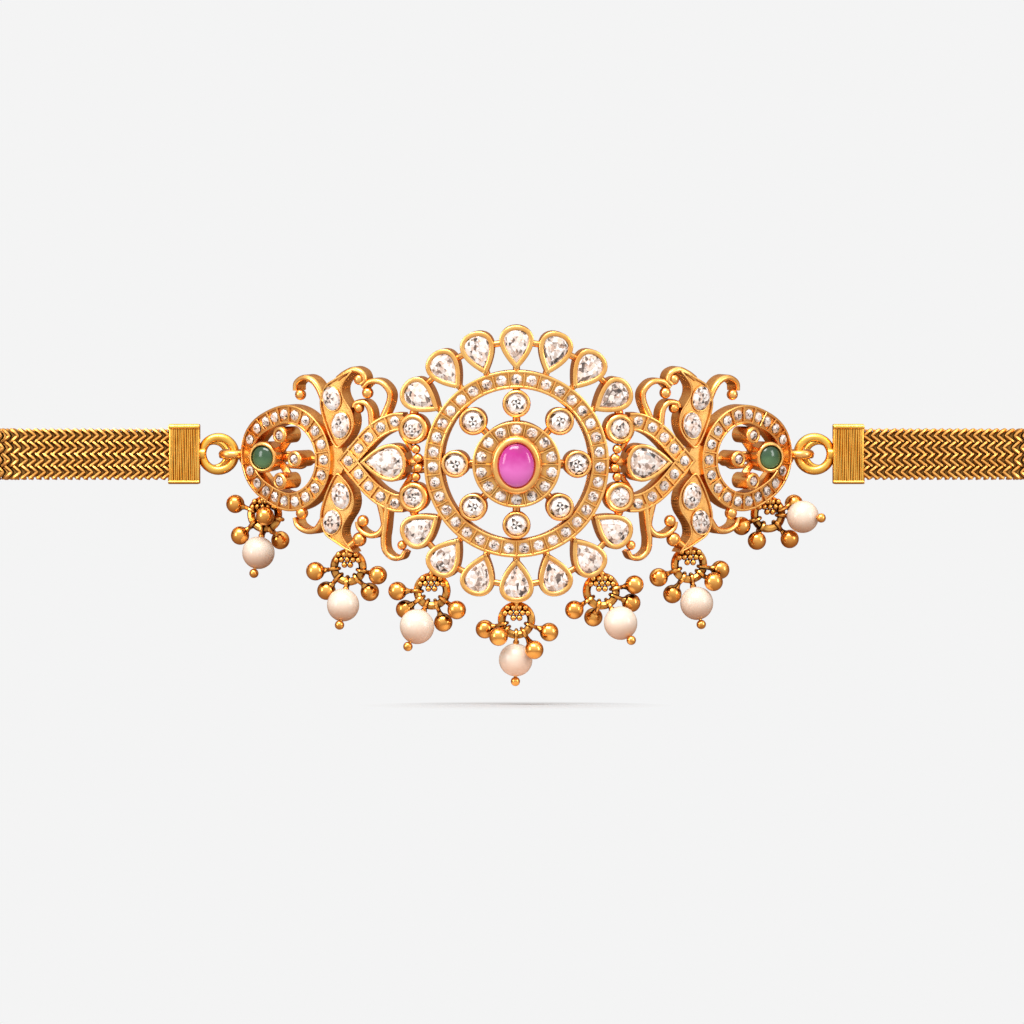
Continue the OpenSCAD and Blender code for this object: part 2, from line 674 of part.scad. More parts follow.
module pearl_pin(pearl_r) {
    end = pearl_reach + pearl_r + pin_bead_r + 0.03;
    wire_loop();
    translate([loop_r + loop_shift, 0, 0]) rotate([0, 90, 0])
        cylinder(r = pin_wire, h = end - loop_r - loop_shift);
    translate([end, 0, 0]) sphere(r = pin_bead_r);
}

module granulated_ring() {
    rotate([90, 0, 0]) rotate_extrude() translate([bail_r, 0]) circle(r = bail_wire);
    for (g = grains, side = [1, -1]) translate([side * g[0], -0.1, g[1]]) sphere(r = grain_r);
}

// Stands its children at the middle of a drop's ring
module at_drop(i) {
    translate(eyelet_at(drops[i]) - [0, 0, bail_r]) rotate([0, 0, drops[i][1]]) children();
}

module drop_gold(i) {
    color("goldenrod") at_drop(i) {
        granulated_ring();
        for (b = drops[i][2]) from_ring(b[0], b[1]) ball_pin(b[2]);
        from_ring(drops[i][3][0], drops[i][3][1]) pearl_pin(drops[i][3][2]);
    }
}

module pearl(i) {
    r = drops[i][3][2];
    color("seashell") at_drop(i) from_ring(drops[i][3][0], drops[i][3][1]) translate([pearl_reach, 0, 0])
        rotate([0, 90, 0]) rotate_extrude() intersection() {
            circle(r = r);
            translate([drill_r, -r]) square([r, 2 * r]);
        }
}

ornament_frame();
ruby();
emerald();  // emerald_right
mirror([1, 0, 0]) emerald();  // emerald_left
for (i = [0 : 13]) crown_pear(i);
for (i = [0 : 7]) round_stone(i);
heart_stones();  // heart_stones_right
mirror([1, 0, 0]) heart_stones();  // heart_stones_left
leaf_stones();  // leaf_stones_right
mirror([1, 0, 0]) leaf_stones();  // leaf_stones_left
eye_stones();  // eye_stones_right
mirror([1, 0, 0]) eye_stones();  // eye_stones_left
wing_pave();  // wing_pave_right
mirror([1, 0, 0]) wing_pave();  // wing_pave_left
ring_pave();
halo_pave();
woven_band();  // woven_band_right
mirror([1, 0, 0]) woven_band();  // woven_band_left
end_cap(front_cap_x, -turn_r, front_ring_r, ring_wire);  // front_cap_right
mirror([1, 0, 0]) end_cap(front_cap_x, -turn_r, front_ring_r, ring_wire);  // front_cap_left
end_cap(back_cap_x, turn_r, back_ring_r, back_wire);  // back_cap_right
mirror([1, 0, 0]) end_cap(back_cap_x, turn_r, back_ring_r, back_wire);  // back_cap_left
closing_chain();  // closing_chain_right
mirror([1, 0, 0]) closing_chain();  // closing_chain_left
clasp_hook();
for (i = [0 : 6]) drop_gold(i);
for (i = [0 : 6]) pearl(i);
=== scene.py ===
"""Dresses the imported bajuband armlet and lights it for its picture.

The ornament is modelled flat, in millimetres from the middle of the medallion: along the arm, up it,
and out from it. It is then bent to the arm and leaned back a little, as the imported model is. The drops,
caps, bands and chain are modelled where they hang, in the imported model's own frame.
"""

import logging
import math
import random
from dataclasses import dataclass, field
from enum import Enum
from typing import Callable, Sequence

import bmesh
import bpy
import numpy as np
from mathutils import Matrix, Vector


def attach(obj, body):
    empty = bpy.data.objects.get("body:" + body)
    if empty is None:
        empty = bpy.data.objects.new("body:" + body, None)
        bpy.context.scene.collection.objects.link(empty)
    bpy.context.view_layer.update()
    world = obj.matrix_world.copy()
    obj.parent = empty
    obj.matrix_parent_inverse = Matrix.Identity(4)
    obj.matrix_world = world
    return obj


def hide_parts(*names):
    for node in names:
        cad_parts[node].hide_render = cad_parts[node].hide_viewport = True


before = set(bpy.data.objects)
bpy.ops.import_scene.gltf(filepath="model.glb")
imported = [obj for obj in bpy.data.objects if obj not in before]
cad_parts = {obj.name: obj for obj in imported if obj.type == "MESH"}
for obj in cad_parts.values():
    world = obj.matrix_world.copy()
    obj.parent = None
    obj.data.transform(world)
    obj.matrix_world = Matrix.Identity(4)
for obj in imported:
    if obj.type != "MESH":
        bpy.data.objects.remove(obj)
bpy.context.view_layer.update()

MM = 0.001
# Corners nearer than this become one, in millimetres.
MERGE = 0.002
# The sharpest corner for which a section is widened, as the cosine of its half turn.
LEAST_COSINE = 0.5
WHITE = (1.0, 1.0, 1.0)
ACROSS, AWAY, UP = Vector((1, 0, 0)), Vector((0, 1, 0)), Vector((0, 0, 1))

Flat = tuple[float, float]
Colour = Sequence[float]
Socket = bpy.types.NodeSocket
Place = Callable[[np.ndarray], np.ndarray]
log = logging.getLogger("armlet")


class Side(Enum):
    """A side of the armlet, as the viewer sees it."""

    LEFT = -1
    RIGHT = 1

    @property
    def label(self) -> str:
        """The side's word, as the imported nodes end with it."""
        return self.name.lower()


class Slot(Enum):
    """The record's material slots."""

    GOLD = "gold"
    ANTIQUE = "antique_gold"
    WOVEN = "woven_gold"
    CLEAR = "clear_stone"
    RUBY = "ruby"
    EMERALD = "emerald"
    PEARL = "pearl"


@dataclass(frozen=True)
class Arm:
    """The round of the arm that the ornament is bent to, in millimetres."""

    radius: float = 45.0
    middle_y: float = 20.5
    hinge_y: float = -6.5
    lean: float = math.radians(4.5)

    def lean_back(self, points: np.ndarray) -> np.ndarray:
        """Leans points about the axis through the band caps.

        Args:
            points: Rows of x, y and z.

        Returns:
            The leaned rows.
        """
        x, y, z = points.T
        reach = y - self.hinge_y
        near, up = math.cos(self.lean), math.sin(self.lean)
        return np.stack([x, self.hinge_y + reach * near - z * up, reach * up + z * near], axis=1)

    def bend(self, points: np.ndarray) -> np.ndarray:
        """Bends flat points round the arm and leans them.

        Args:
            points: Rows of along, up and out.

        Returns:
            Rows of x, y and z.
        """
        along, up, out = points.T
        turn = along / self.radius
        reach = self.radius + out
        bent = np.stack([reach * np.sin(turn), self.middle_y - reach * np.cos(turn), up], axis=1)
        return self.lean_back(bent)

    def point(self, along: float, up: float, out: float) -> Vector:
        """One flat point, bent and leaned."""
        return Vector(self.bend(np.array([[along, up, out]]))[0])


ARM = Arm()


def as_it_is(points: np.ndarray) -> np.ndarray:
    """The place of a piece that is modelled where it hangs."""
    return points


def smooth_line(points: Sequence[Sequence[float]], parts: int = 5, closed: bool = False) -> list[Vector]:
    """Rounds a line through its points.

    Args:
        points: The points that the line passes.
        parts: How many steps lie between two of them.
        closed: Whether the line returns to its start.

    Returns:
        The points of the rounded line.
    """
    given = [Vector(p) for p in points]
    count = len(given)
    line = []
    for i in range(count if closed else count - 1):
        b, c = given[i], given[(i + 1) % count]
        a = given[i - 1] if closed or i else b * 2 - c
        d = given[(i + 2) % count] if closed or i + 2 < count else c * 2 - b
        for k in range(parts):
            t = k / parts
            bow = a * 2 - b * 5 + c * 4 - d
            line.append((b * 2 + (c - a) * t + bow * t**2 + (b * 3 - a - c * 3 + d) * t**3) / 2)
    return line if closed else line + [given[-1]]


def flat_stations(
    line: Sequence[Vector], closed: bool = False, widths: Sequence[float] | None = None
) -> list[Matrix]:
    """Stations for a section that is drawn along a line in the ornament's plane.

    Args:
        line: The flat line's points.
        closed: Whether the line returns to its start.
        widths: How wide the section is at each point, as a share.

    Returns:
        A matrix for each point. The section's first axis lies to the line's right, its second points
        out, and at a corner it is widened so that its walls keep their thickness.
    """
    count = len(line)
    stations = []
    for i, point in enumerate(line):
        here = point.to_2d()
        into = (here - line[i - 1].to_2d()).normalized() if closed or i else None
        on = (line[(i + 1) % count].to_2d() - here).normalized() if closed or i + 1 < count else into
        into = into or on
        way = (into + on).normalized()
        side = Vector((way.y, -way.x)) / max(way.dot(into), LEAST_COSINE) * (widths[i] if widths else 1.0)
        rows = ((side.x, 0, way.x, here.x), (side.y, 0, way.y, here.y), (0, 1, 0, 0), (0, 0, 0, 1))
        stations.append(Matrix(rows))
    return stations


def wire_stations(
    line: Sequence[Vector], closed: bool = False, widths: Sequence[float] | None = None
) -> list[Matrix]:
    """Stations for a section that is drawn along a line in space, turned as little as it can be.

    Args:
        line: The line's points.
        closed: Whether the line returns to its start.
        widths: How wide the section is at each point, as a share.

    Returns:
        A matrix for each point.
    """
    count = len(line)
    stations = []
    side = None
    for i, point in enumerate(line):
        after = line[(i + 1) % count] if closed or i + 1 < count else point
        before = line[i - 1] if closed or i else point
        way = (after - before).normalized()
        side = way.orthogonal() if side is None else side - way * side.dot(way)
        side = side.normalized()
        wide = widths[i] if widths else 1.0
        turned = Matrix((side * wide, way.cross(side) * wide, way)).transposed()
        stations.append(Matrix.Translation(point) @ turned.to_4x4())
    return stations


def placed(at: Sequence[float], turn: float = 0.0, scale: Sequence[float] | float = 1.0) -> Matrix:
    """A matrix that scales a shape, turns it in the ornament's plane and moves it.

    Args:
        at: Where the shape's middle goes.
        turn: The turn to the left, in degrees.
        scale: One size for all, or one for each axis.

    Returns:
        The matrix.
    """
    sizes = (scale,) * 3 if isinstance(scale, float) else scale
    where = Matrix.Translation(Vector(at).to_3d()) @ Matrix.Rotation(math.radians(turn), 4, "Z")
    return where @ Matrix.Diagonal((*sizes, 1.0))


def spoke(turn: float) -> Vector:
    """The flat direction at a turn in radians to the right of straight up."""
    return Vector((math.sin(turn), math.cos(turn), 0))


def ring_points(
    count: int, half_wide: float, half_high: float | None = None, from_turn: float = 0.0
) -> list[Vector]:
    """Points round an oval, to the left from its right end.

    Args:
        count: How many points there are.
        half_wide: Half the oval's width.
        half_high: Half its height, or None for a circle.
        from_turn: Where the first point lies, in degrees.

    Returns:
        The points.
    """
    high = half_wide if half_high is None else half_high
    turns = [math.radians(from_turn) + math.tau * k / count for k in range(count)]
    return [Vector((half_wide * math.cos(t), high * math.sin(t), 0.0)) for t in turns]


def pear_points(half: float, count: int = 28) -> list[Vector]:
    """Points round a pear with its point down.

    Args:
        half: Half the pear's height.
        count: How many points there are.

    Returns:
        The points, from the pear's point to the left as one looks at it.
    """
    turns = [math.tau * k / count for k in range(count)]
    return [Vector((half * math.sin(t) * math.sin(t / 2), -half * math.cos(t), 0.0)) for t in turns]


def round_section(radius: float, sides: int = 8) -> list[Flat]:
    """The section of a round wire."""
    return [(p.x, p.y) for p in ring_points(sides, radius)]


def circle_line(middle: Vector, radius: float, across: Vector, up: Vector, count: int) -> list[Vector]:
    """Points round a circle in space.

    Args:
        middle: The circle's middle.
        radius: Its radius.
        across: The direction to its first point.
        up: The direction to the point a quarter further on.
        count: How many points there are.

    Returns:
        The points.
    """
    turns = [math.tau * k / count for k in range(count)]
    return [middle + across * (radius * math.cos(t)) + up * (radius * math.sin(t)) for t in turns]


def rim_section(width: float, top: float, foot: float, inner_foot: float | None = None) -> list[Flat]:
    """The section of an upright wall with a rounded lip, whose outer face stands on the line.

    Args:
        width: How thick the wall is.
        top: The height of its lip.
        foot: The height of its outer foot.
        inner_foot: The height of its inner foot, or None for the same.

    Returns:
        The section's points.
    """
    soft = min(0.3 * width, 0.16)
    inner = foot if inner_foot is None else inner_foot
    return [
        (0.0, foot),
        (0.0, top - 1.6 * soft),
        (-0.3 * soft, top - 0.5 * soft),
        (-1.1 * soft, top),
        (1.1 * soft - width, top),
        (0.3 * soft - width, top - 0.5 * soft),
        (-width, top - 1.6 * soft),
        (-width, inner),
    ]


def mirrored(half: Sequence[Flat]) -> list[Flat]:
    """A section whose left half is its right half turned over."""
    return [*half, *((-x, y) for x, y in reversed(half))]


def edges_of(verts: Sequence[bmesh.types.BMVert]) -> list[bmesh.types.BMEdge]:
    """The edges that end on some vertices, each once and always in the same order."""
    return list(dict.fromkeys(e for v in verts for e in v.link_edges))


class Work:
    """A mesh on the bench, in millimetres."""

    def __init__(self) -> None:
        """Starts an empty mesh that keeps a number for each face, the painted reflection of a stone's facet.
        """
        self.bm = bmesh.new()
        self.bm.faces.layers.float.new("tone")

    def loft(self, section: Sequence[Flat], stations: Sequence[Matrix], closed: bool = False) -> "Work":
        """Draws a closed section along stations by extruding its edges.

        Args:
            section: The section's points, in its own plane.
            stations: The matrix that places the section at each step.
            closed: Whether the last station joins the first.

        Returns:
            The work itself.
        """
        ring = bmesh.ops.create_circle(self.bm, cap_ends=False, segments=len(section), radius=1.0)["verts"]
        for vert, (side, up) in zip(ring, section):
            vert.co = stations[0] @ Vector((side, up, 0.0))
        first = edges = edges_of(ring)
        before = stations[0]
        verts = ring
        for station in [*stations[1:], *([stations[0]] if closed else [])]:
            made = bmesh.ops.extrude_edge_only(self.bm, edges=edges)["geom"]
            verts = [g for g in made if isinstance(g, bmesh.types.BMVert)]
            new = set(verts)
            edges = [g for g in made if isinstance(g, bmesh.types.BMEdge) and new.issuperset(g.verts)]
            bmesh.ops.transform(self.bm, matrix=station @ before.inverted(), verts=verts)
            before = station
        if closed:
            bmesh.ops.remove_doubles(self.bm, verts=[*ring, *verts], dist=MERGE)
        else:
            bmesh.ops.contextual_create(self.bm, geom=first)
            bmesh.ops.contextual_create(self.bm, geom=edges)
        return self

    def turned(self, profile: Sequence[Flat], steps: int, matrix: Matrix | None = None) -> "Work":
        """Turns a profile of radius and height on the lathe.

        Args:
            profile: The profile's points. One that doesn't start on the axis is closed to a ring.
            steps: How many steps the turn has.
            matrix: Where the turned piece goes.

        Returns:
            The work itself.
        """
        verts = [self.bm.verts.new((radius, 0.0, height)) for radius, height in profile]
        pairs = list(zip(verts, verts[1:]))
        if profile[0][0] > 0:
            pairs.append((verts[-1], verts[0]))
        edges = [self.bm.edges.new(pair) for pair in pairs]
        bmesh.ops.spin(
            self.bm, geom=[*verts, *edges], axis=UP, angle=math.tau, steps=steps, use_merge=True,
            cent=(0, 0, 0), dvec=(0, 0, 0),
        )
        made = self.island(verts[0])
        bmesh.ops.remove_doubles(self.bm, verts=made, dist=MERGE)
        if matrix is not None:
            start = next(v for v in made if v.is_valid)
            bmesh.ops.transform(self.bm, matrix=matrix, verts=self.island(start))
        return self

    def island(self, start: bmesh.types.BMVert) -> list[bmesh.types.BMVert]:
        """All vertices that edges join to one.

        Args:
            start: A vertex of the island.

        Returns:
            The island's vertices.
        """
        seen = {start: None}
        edge = [start]
        while edge:
            near = dict.fromkeys(e.other_vert(v) for v in edge for e in v.link_edges)
            edge = [v for v in near if v not in seen]
            seen.update(dict.fromkeys(edge))
        return list(seen)

    def plate(self, outline: Sequence[Vector], top: float, bottom: float) -> "Work":
        """Cuts a flat plate to an outline.

        Args:
            outline: The outline's points.
            top: The height of the plate's face.
            bottom: The height of its back.

        Returns:
            The work itself.
        """
        verts = [self.bm.verts.new((p.x, p.y, top)) for p in outline]
        face = self.bm.faces.new(verts)
        made = bmesh.ops.extrude_face_region(self.bm, geom=[face], use_keep_orig=True)["geom"]
        low = [g for g in made if isinstance(g, bmesh.types.BMVert)]
        bmesh.ops.translate(self.bm, vec=(0, 0, bottom - top), verts=low)
        return self

    def ball(self, at: Sequence[float], radius: float, rounds: int = 12) -> "Work":
        """Adds a ball.

        Args:
            at: The ball's middle.
            radius: Its radius.
            rounds: How many steps go round it.

        Returns:
            The work itself.
        """
        bmesh.ops.create_uvsphere(
            self.bm, u_segments=rounds, v_segments=max(rounds * 2 // 3, 5), radius=radius, matrix=placed(at)
        )
        return self

    def box(self, middle: Sequence[float], sizes: Sequence[float], soft: float) -> "Work":
        """Adds a box with rounded edges.

        Args:
            middle: The box's middle.
            sizes: Its size along each axis.
            soft: How far its edges are rounded.

        Returns:
            The work itself.
        """
        verts = bmesh.ops.create_cube(self.bm, size=1.0)["verts"]
        bmesh.ops.transform(self.bm, matrix=placed(middle, 0.0, sizes), verts=verts)
        bmesh.ops.bevel(
            self.bm, geom=edges_of(verts), offset=soft, affect="EDGES", segments=3, profile=0.5, material=-1
        )
        return self

    def wire(self, line: Sequence[Vector], radius: float, sides: int = 8, closed: bool = False) -> "Work":
        """Adds a round wire along a line in space."""
        return self.loft(round_section(radius, sides), wire_stations(line, closed), closed)

    def rod(
        self, start: Sequence[float], end: Sequence[float], level: float, radius: float, sides: int = 8
    ) -> "Work":
        """Adds a straight wire between two flat points at one level."""
        return self.wire([Vector((p[0], p[1], level)) for p in (start, end)], radius, sides)

    def wall(self, section: Sequence[Flat], outline: Sequence[Vector]) -> "Work":
        """Adds a wall on a closed flat outline."""
        return self.loft(section, flat_stations(outline, True), True)

    def bar(self, start: Vector, end: Vector, half: float, top: float, foot: float) -> "Work":
        """Adds a straight bar with a rounded back between two flat points.

        Args:
            start: One end of its middle line.
            end: The other end.
            half: Half its width.
            top: The height of its back.
            foot: The height of its foot.

        Returns:
            The work itself.
        """
        section = mirrored([(half, foot), (half, top - half), (half / 2, top)])
        return self.loft(section, flat_stations([start, end]))

    def stamp(self, shape: bpy.types.Mesh, matrix: Matrix) -> "Work":
        """Adds a copy of a finished shape.

        Args:
            shape: The shape's mesh.
            matrix: Where the copy goes.

        Returns:
            The work itself.
        """
        copy = shape.copy()
        copy.transform(matrix)
        self.bm.from_mesh(copy)
        bpy.data.meshes.remove(copy)
        return self

    def move(self, matrix: Matrix) -> "Work":
        """Moves everything on the bench."""
        bmesh.ops.transform(self.bm, matrix=matrix, verts=self.bm.verts[:])
        return self

    def face(self, side: Side) -> "Work":
        """Turns work that was made for the right side over for the left one."""
        return self.move(Matrix.Scale(side.value, 4, ACROSS))

    def shape(self, name: str) -> bpy.types.Mesh:
        """Takes the mesh off the bench with its faces turned outwards.

        Args:
            name: The mesh's name.

        Returns:
            The mesh.
        """
        bmesh.ops.recalc_face_normals(self.bm, faces=self.bm.faces[:])
        mesh = bpy.data.meshes.new(name)
        self.bm.to_mesh(mesh)
        self.bm.free()
        return mesh


@dataclass
class Piece:
    """A finished piece of the armlet and what it stands for."""

    name: str
    work: Work
    material: bpy.types.Material
    slot: Slot
    nodes: Sequence[str]
    place: Place = ARM.bend
    crease: float | None = 38.0

    def make(self) -> bpy.types.Object:
        """Makes the object, in metres, in its place and with its finish.

        Returns:
            The object.
        """
        mesh = self.work.shape(self.name)
        flat = np.empty(len(mesh.vertices) * 3, np.float32)
        mesh.vertices.foreach_get("co", flat)
        rows = self.place(flat.reshape(-1, 3).astype(float)) * MM
        mesh.vertices.foreach_set("co", rows.astype(np.float32).ravel())
        if self.crease is not None:
            mesh.shade_smooth()
            mesh.set_sharp_from_angle(angle=math.radians(self.crease))
        mesh.update()
        mesh.materials.append(self.material)
        piece = bpy.data.objects.new(self.name, mesh)
        bpy.context.scene.collection.objects.link(piece)
        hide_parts(*self.nodes)
        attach(piece, "root")
        log.info("%s: %d faces for %s", self.name, len(mesh.polygons), ", ".join(self.nodes))
        return piece


class Nodes:
    """A material's node tree, with short calls for what the finishes share."""

    def __init__(self, name: str) -> None:
        """Starts a material with its shader alone.

        Args:
            name: The material's name.
        """
        self.material = bpy.data.materials.new(name)
        self.material.use_nodes = True
        self.tree = self.material.node_tree
        self.shader = next(n for n in self.tree.nodes if n.type == "BSDF_PRINCIPLED")
        self.here = self.add("ShaderNodeTexCoord").outputs["Object"]
        self.base = self.shader.inputs["Base Color"]

    def add(self, kind: str, **values: object) -> bpy.types.Node:
        """Adds a node and sets its properties.

        Args:
            kind: The node's type.
            values: Its properties.

        Returns:
            The node.
        """
        node = self.tree.nodes.new(kind)
        for key, value in values.items():
            setattr(node, key, value)
        return node

    def link(self, source: Socket, target: Socket) -> None:
        """Joins two sockets."""
        self.tree.links.new(source, target)

    def set(self, **values: object) -> None:
        """Sets the shader's own sockets, each named with underscores for spaces."""
        for key, value in values.items():
            self.shader.inputs[key.replace("_", " ")].default_value = value

    def noise(self, scale: float, detail: float = 3.0, rough: float = 0.55) -> Socket:
        """Noise on the piece's own coordinates.

        Args:
            scale: How many features there are to a metre.
            detail: How many finer layers lie on it.
            rough: How strong those are.

        Returns:
            The noise's factor.
        """
        node = self.add("ShaderNodeTexNoise")
        node.inputs["Scale"].default_value = scale
        node.inputs["Detail"].default_value = detail
        node.inputs["Roughness"].default_value = rough
        self.link(self.here, node.inputs["Vector"])
        return node.outputs["Fac"]

    def ramp(self, source: Socket, stops: Sequence[tuple[float, Colour]]) -> Socket:
        """A colour ramp.

        Args:
            source: What drives the ramp.
            stops: Each stop's place and colour.

        Returns:
            The ramp's colour.
        """
        node = self.add("ShaderNodeValToRGB")
        elements = node.color_ramp.elements
        while len(elements) < len(stops):
            elements.new(0.5)
        for element, (at, colour) in zip(elements, stops):
            element.position = at
            element.color = (*colour, 1.0)
        self.link(source, node.inputs["Fac"])
        return node.outputs["Color"]

    def spread(
        self, source: Socket, low: float, high: float, start: float = 0.0, end: float = 1.0
    ) -> Socket:
        """Maps a value to a range.

        Args:
            source: The value.
            low: What its start becomes.
            high: What its end becomes.
            start: The value's start.
            end: The value's end.

        Returns:
            The mapped value.
        """
        node = self.add("ShaderNodeMapRange")
        for key, value in (("From Min", start), ("From Max", end), ("To Min", low), ("To Max", high)):
            node.inputs[key].default_value = value
        self.link(source, node.inputs["Value"])
        return node.outputs["Result"]

    def mix(
        self, share: Socket | float, first: Socket | Colour, second: Socket | Colour, blend: str = "MIX"
    ) -> Socket:
        """Mixes two colours, each a socket or a colour.

        Args:
            share: The second colour's share, as a socket or a number.
            first: The first colour.
            second: The second colour.
            blend: How they mix.

        Returns:
            The mixed colour.
        """
        node = self.add("ShaderNodeMix", data_type="RGBA", blend_type=blend)
        for value, index in ((share, 0), (first, 6), (second, 7)):
            if isinstance(value, Socket):
                self.link(value, node.inputs[index])
            else:
                node.inputs[index].default_value = value if index == 0 else (*value, 1.0)
        return node.outputs[2]

    def join(self, operation: str, first: Socket, second: Socket) -> Socket:
        """Two values put together by a math node.

        Args:
            operation: The math node's operation.
            first: The first value.
            second: The second value.

        Returns:
            The result.
        """
        node = self.add("ShaderNodeMath", operation=operation)
        self.link(first, node.inputs[0])
        self.link(second, node.inputs[1])
        return node.outputs["Value"]

    def parts(self, source: Socket) -> bpy.types.bpy_prop_collection:
        """The X, Y and Z of a vector.

        Args:
            source: The vector.

        Returns:
            The three sockets, by their letters.
        """
        node = self.add("ShaderNodeSeparateXYZ")
        self.link(source, node.inputs["Vector"])
        return node.outputs

    def measure(self, operation: str, output: str, second: Sequence[float] = (0.0, 0.0, 0.0)) -> Socket:
        """What a vector operation makes of the piece's own coordinates and a second vector.

        Args:
            operation: The vector node's operation.
            output: Which of the node's outputs is wanted.
            second: The second vector.

        Returns:
            The output's socket.
        """
        node = self.add("ShaderNodeVectorMath", operation=operation)
        self.link(self.here, node.inputs[0])
        node.inputs[1].default_value = second
        return node.outputs[output]

    def blend(self, share: Socket | float, first: Socket, second: Socket) -> Socket:
        """Blends two values.

        Args:
            share: The second value's share, as a socket or a number.
            first: The first value.
            second: The second value.

        Returns:
            The blended value.
        """
        node = self.add("ShaderNodeMix")
        if isinstance(share, Socket):
            self.link(share, node.inputs["Factor"])
        else:
            node.inputs["Factor"].default_value = share
        self.link(first, node.inputs["A"])
        self.link(second, node.inputs["B"])
        return node.outputs["Result"]

    def cells(self, scale: float) -> tuple[Socket, Socket]:
        """Two chance numbers for each small cell of space, as the facets of a cut stone send light back.

        Args:
            scale: How many cells there are to a metre.

        Returns:
            The two numbers.
        """
        node = self.add("ShaderNodeTexVoronoi", distance="MANHATTAN")
        node.inputs["Scale"].default_value = scale
        self.link(self.here, node.inputs["Vector"])
        parts = self.add("ShaderNodeSeparateColor")
        self.link(node.outputs["Color"], parts.inputs["Color"])
        return parts.outputs["Red"], parts.outputs["Green"]

    def bump(self, source: Socket, depth: float, strength: float) -> None:
        """Puts a fine relief on the shader.

        Args:
            source: The relief's height, from 0 to 1.
            depth: How deep it is, in metres.
            strength: How strong it is.
        """
        node = self.add("ShaderNodeBump")
        node.inputs["Strength"].default_value = strength
        node.inputs["Distance"].default_value = depth
        self.link(source, node.inputs["Height"])
        self.link(node.outputs["Normal"], self.shader.inputs["Normal"])

    def attribute(self, name: str) -> Socket:
        """A number that the mesh carries."""
        return self.add("ShaderNodeAttribute", attribute_name=name).outputs["Fac"]


@dataclass(frozen=True)
class Gold:
    """Gold with painted shade in its recesses, a warm dark colour.

    The painted shade grows as the openness, measured over the reach, falls from open to shut. Scales are in
    features to a metre, lengths in metres.
    """

    name: str
    bright: Colour = (1.0, 0.56, 0.18)
    deep: Colour = (0.88, 0.34, 0.05)
    # The colour of the painted shade where the surface is shut in.
    recess_shade: Colour = (0.26, 0.04, 0.002)
    smooth: float = 0.18
    worn: float = 0.34
    reach: float = 0.7 * MM
    grain: float = 0.35
    shut: float = 0.0
    open: float = 0.5
    clouds: float = 420.0
    scuffs: float = 1500.0
    relief: float = 5200.0
    depth: float = 0.03 * MM

    def make(self) -> bpy.types.Material:
        """Builds the finish.

        Returns:
            The material.
        """
        nodes = Nodes(self.name)
        cloud = nodes.spread(nodes.noise(self.clouds), 0.0, 0.55, 0.35, 0.7)
        tint = nodes.mix(cloud, self.bright, self.deep)
        # Painted shade: ambient occlusion darkens the colour where the surface is shut in.
        hollow = nodes.add("ShaderNodeAmbientOcclusion", samples=10, only_local=True)
        hollow.inputs["Distance"].default_value = self.reach
        shade = nodes.spread(hollow.outputs["AO"], 1.0, 0.0, self.shut, self.open)
        nodes.link(nodes.mix(shade, tint, self.recess_shade), nodes.base)
        scuffed = nodes.spread(nodes.noise(self.scuffs, 4.0), self.smooth, self.worn, 0.3, 0.7)
        nodes.link(scuffed, nodes.shader.inputs["Roughness"])
        nodes.bump(nodes.noise(self.relief, 2.0), self.depth, self.grain)
        nodes.set(Metallic=1.0)
        return nodes.material


@dataclass(frozen=True)
class ClearStone:
    """A colourless cut stone, whose facets are painted with the light and dark reflections that it sends
    back.

    A facet's painted reflection is the mesh's own, mixed with one of small cells of space by the share
    chance, and some are given a painted warm reflection.
    """

    name: str = "clear_stone"
    facets: float = 2100.0
    chance: float = 0.55
    warm_reflection: Colour = (1.0, 0.76, 0.62)
    tones: Sequence[tuple[float, Colour]] = (
        (0.15, (0.025, 0.016, 0.012)),
        (0.34, (0.2, 0.14, 0.11)),
        (0.46, (0.5, 0.4, 0.34)),
        (0.62, (0.7, 0.64, 0.6)),
        (0.9, (0.82, 0.8, 0.78)),
    )

    def make(self) -> bpy.types.Material:
        """Builds the finish.

        Returns:
            The material.
        """
        nodes = Nodes(self.name)
        tone, warm_reflection_chance = nodes.cells(self.facets)
        light = nodes.ramp(nodes.blend(self.chance, nodes.attribute("tone"), tone), self.tones)
        # Painted warm reflection: a chance share of the cells is tinted peach.
        warm_reflection = nodes.spread(warm_reflection_chance, 0.0, 0.85, 0.45, 0.9)
        nodes.link(nodes.mix(warm_reflection, light, self.warm_reflection, "MULTIPLY"), nodes.base)
        nodes.set(Roughness=0.06, IOR=1.7, Coat_Weight=0.3, Coat_Roughness=0.03)
        return nodes.material


@dataclass(frozen=True)
class Cabochon:
    """A smooth coloured stone with painted light: darker in its upper half and lighter low in it, where
    light gathers.

    The colours run from low to high, two levels in millimetres.
    """

    name: str
    dark: Colour
    middle: Colour
    light: Colour
    low: float
    high: float
    clouds: float = 700.0
    drift: float = 0.14

    def make(self) -> bpy.types.Material:
        """Builds the finish.

        Returns:
            The material.
        """
        nodes = Nodes(self.name)
        # Painted light: the colour runs from light low in the stone to dark at its top, with some random
        # drift.
        height = nodes.spread(nodes.parts(nodes.here)["Z"], 0.0, 1.0, self.low * MM, self.high * MM)
        drift = nodes.spread(nodes.noise(self.clouds, 2.0), -self.drift, self.drift)
        stops = [(0.05, self.light), (0.45, self.middle), (0.9, self.dark)]
        nodes.link(nodes.ramp(nodes.join("ADD", height, drift), stops), nodes.base)
        nodes.set(Roughness=0.15, IOR=1.5, Coat_Weight=0.25, Coat_Roughness=0.1)
        return nodes.material


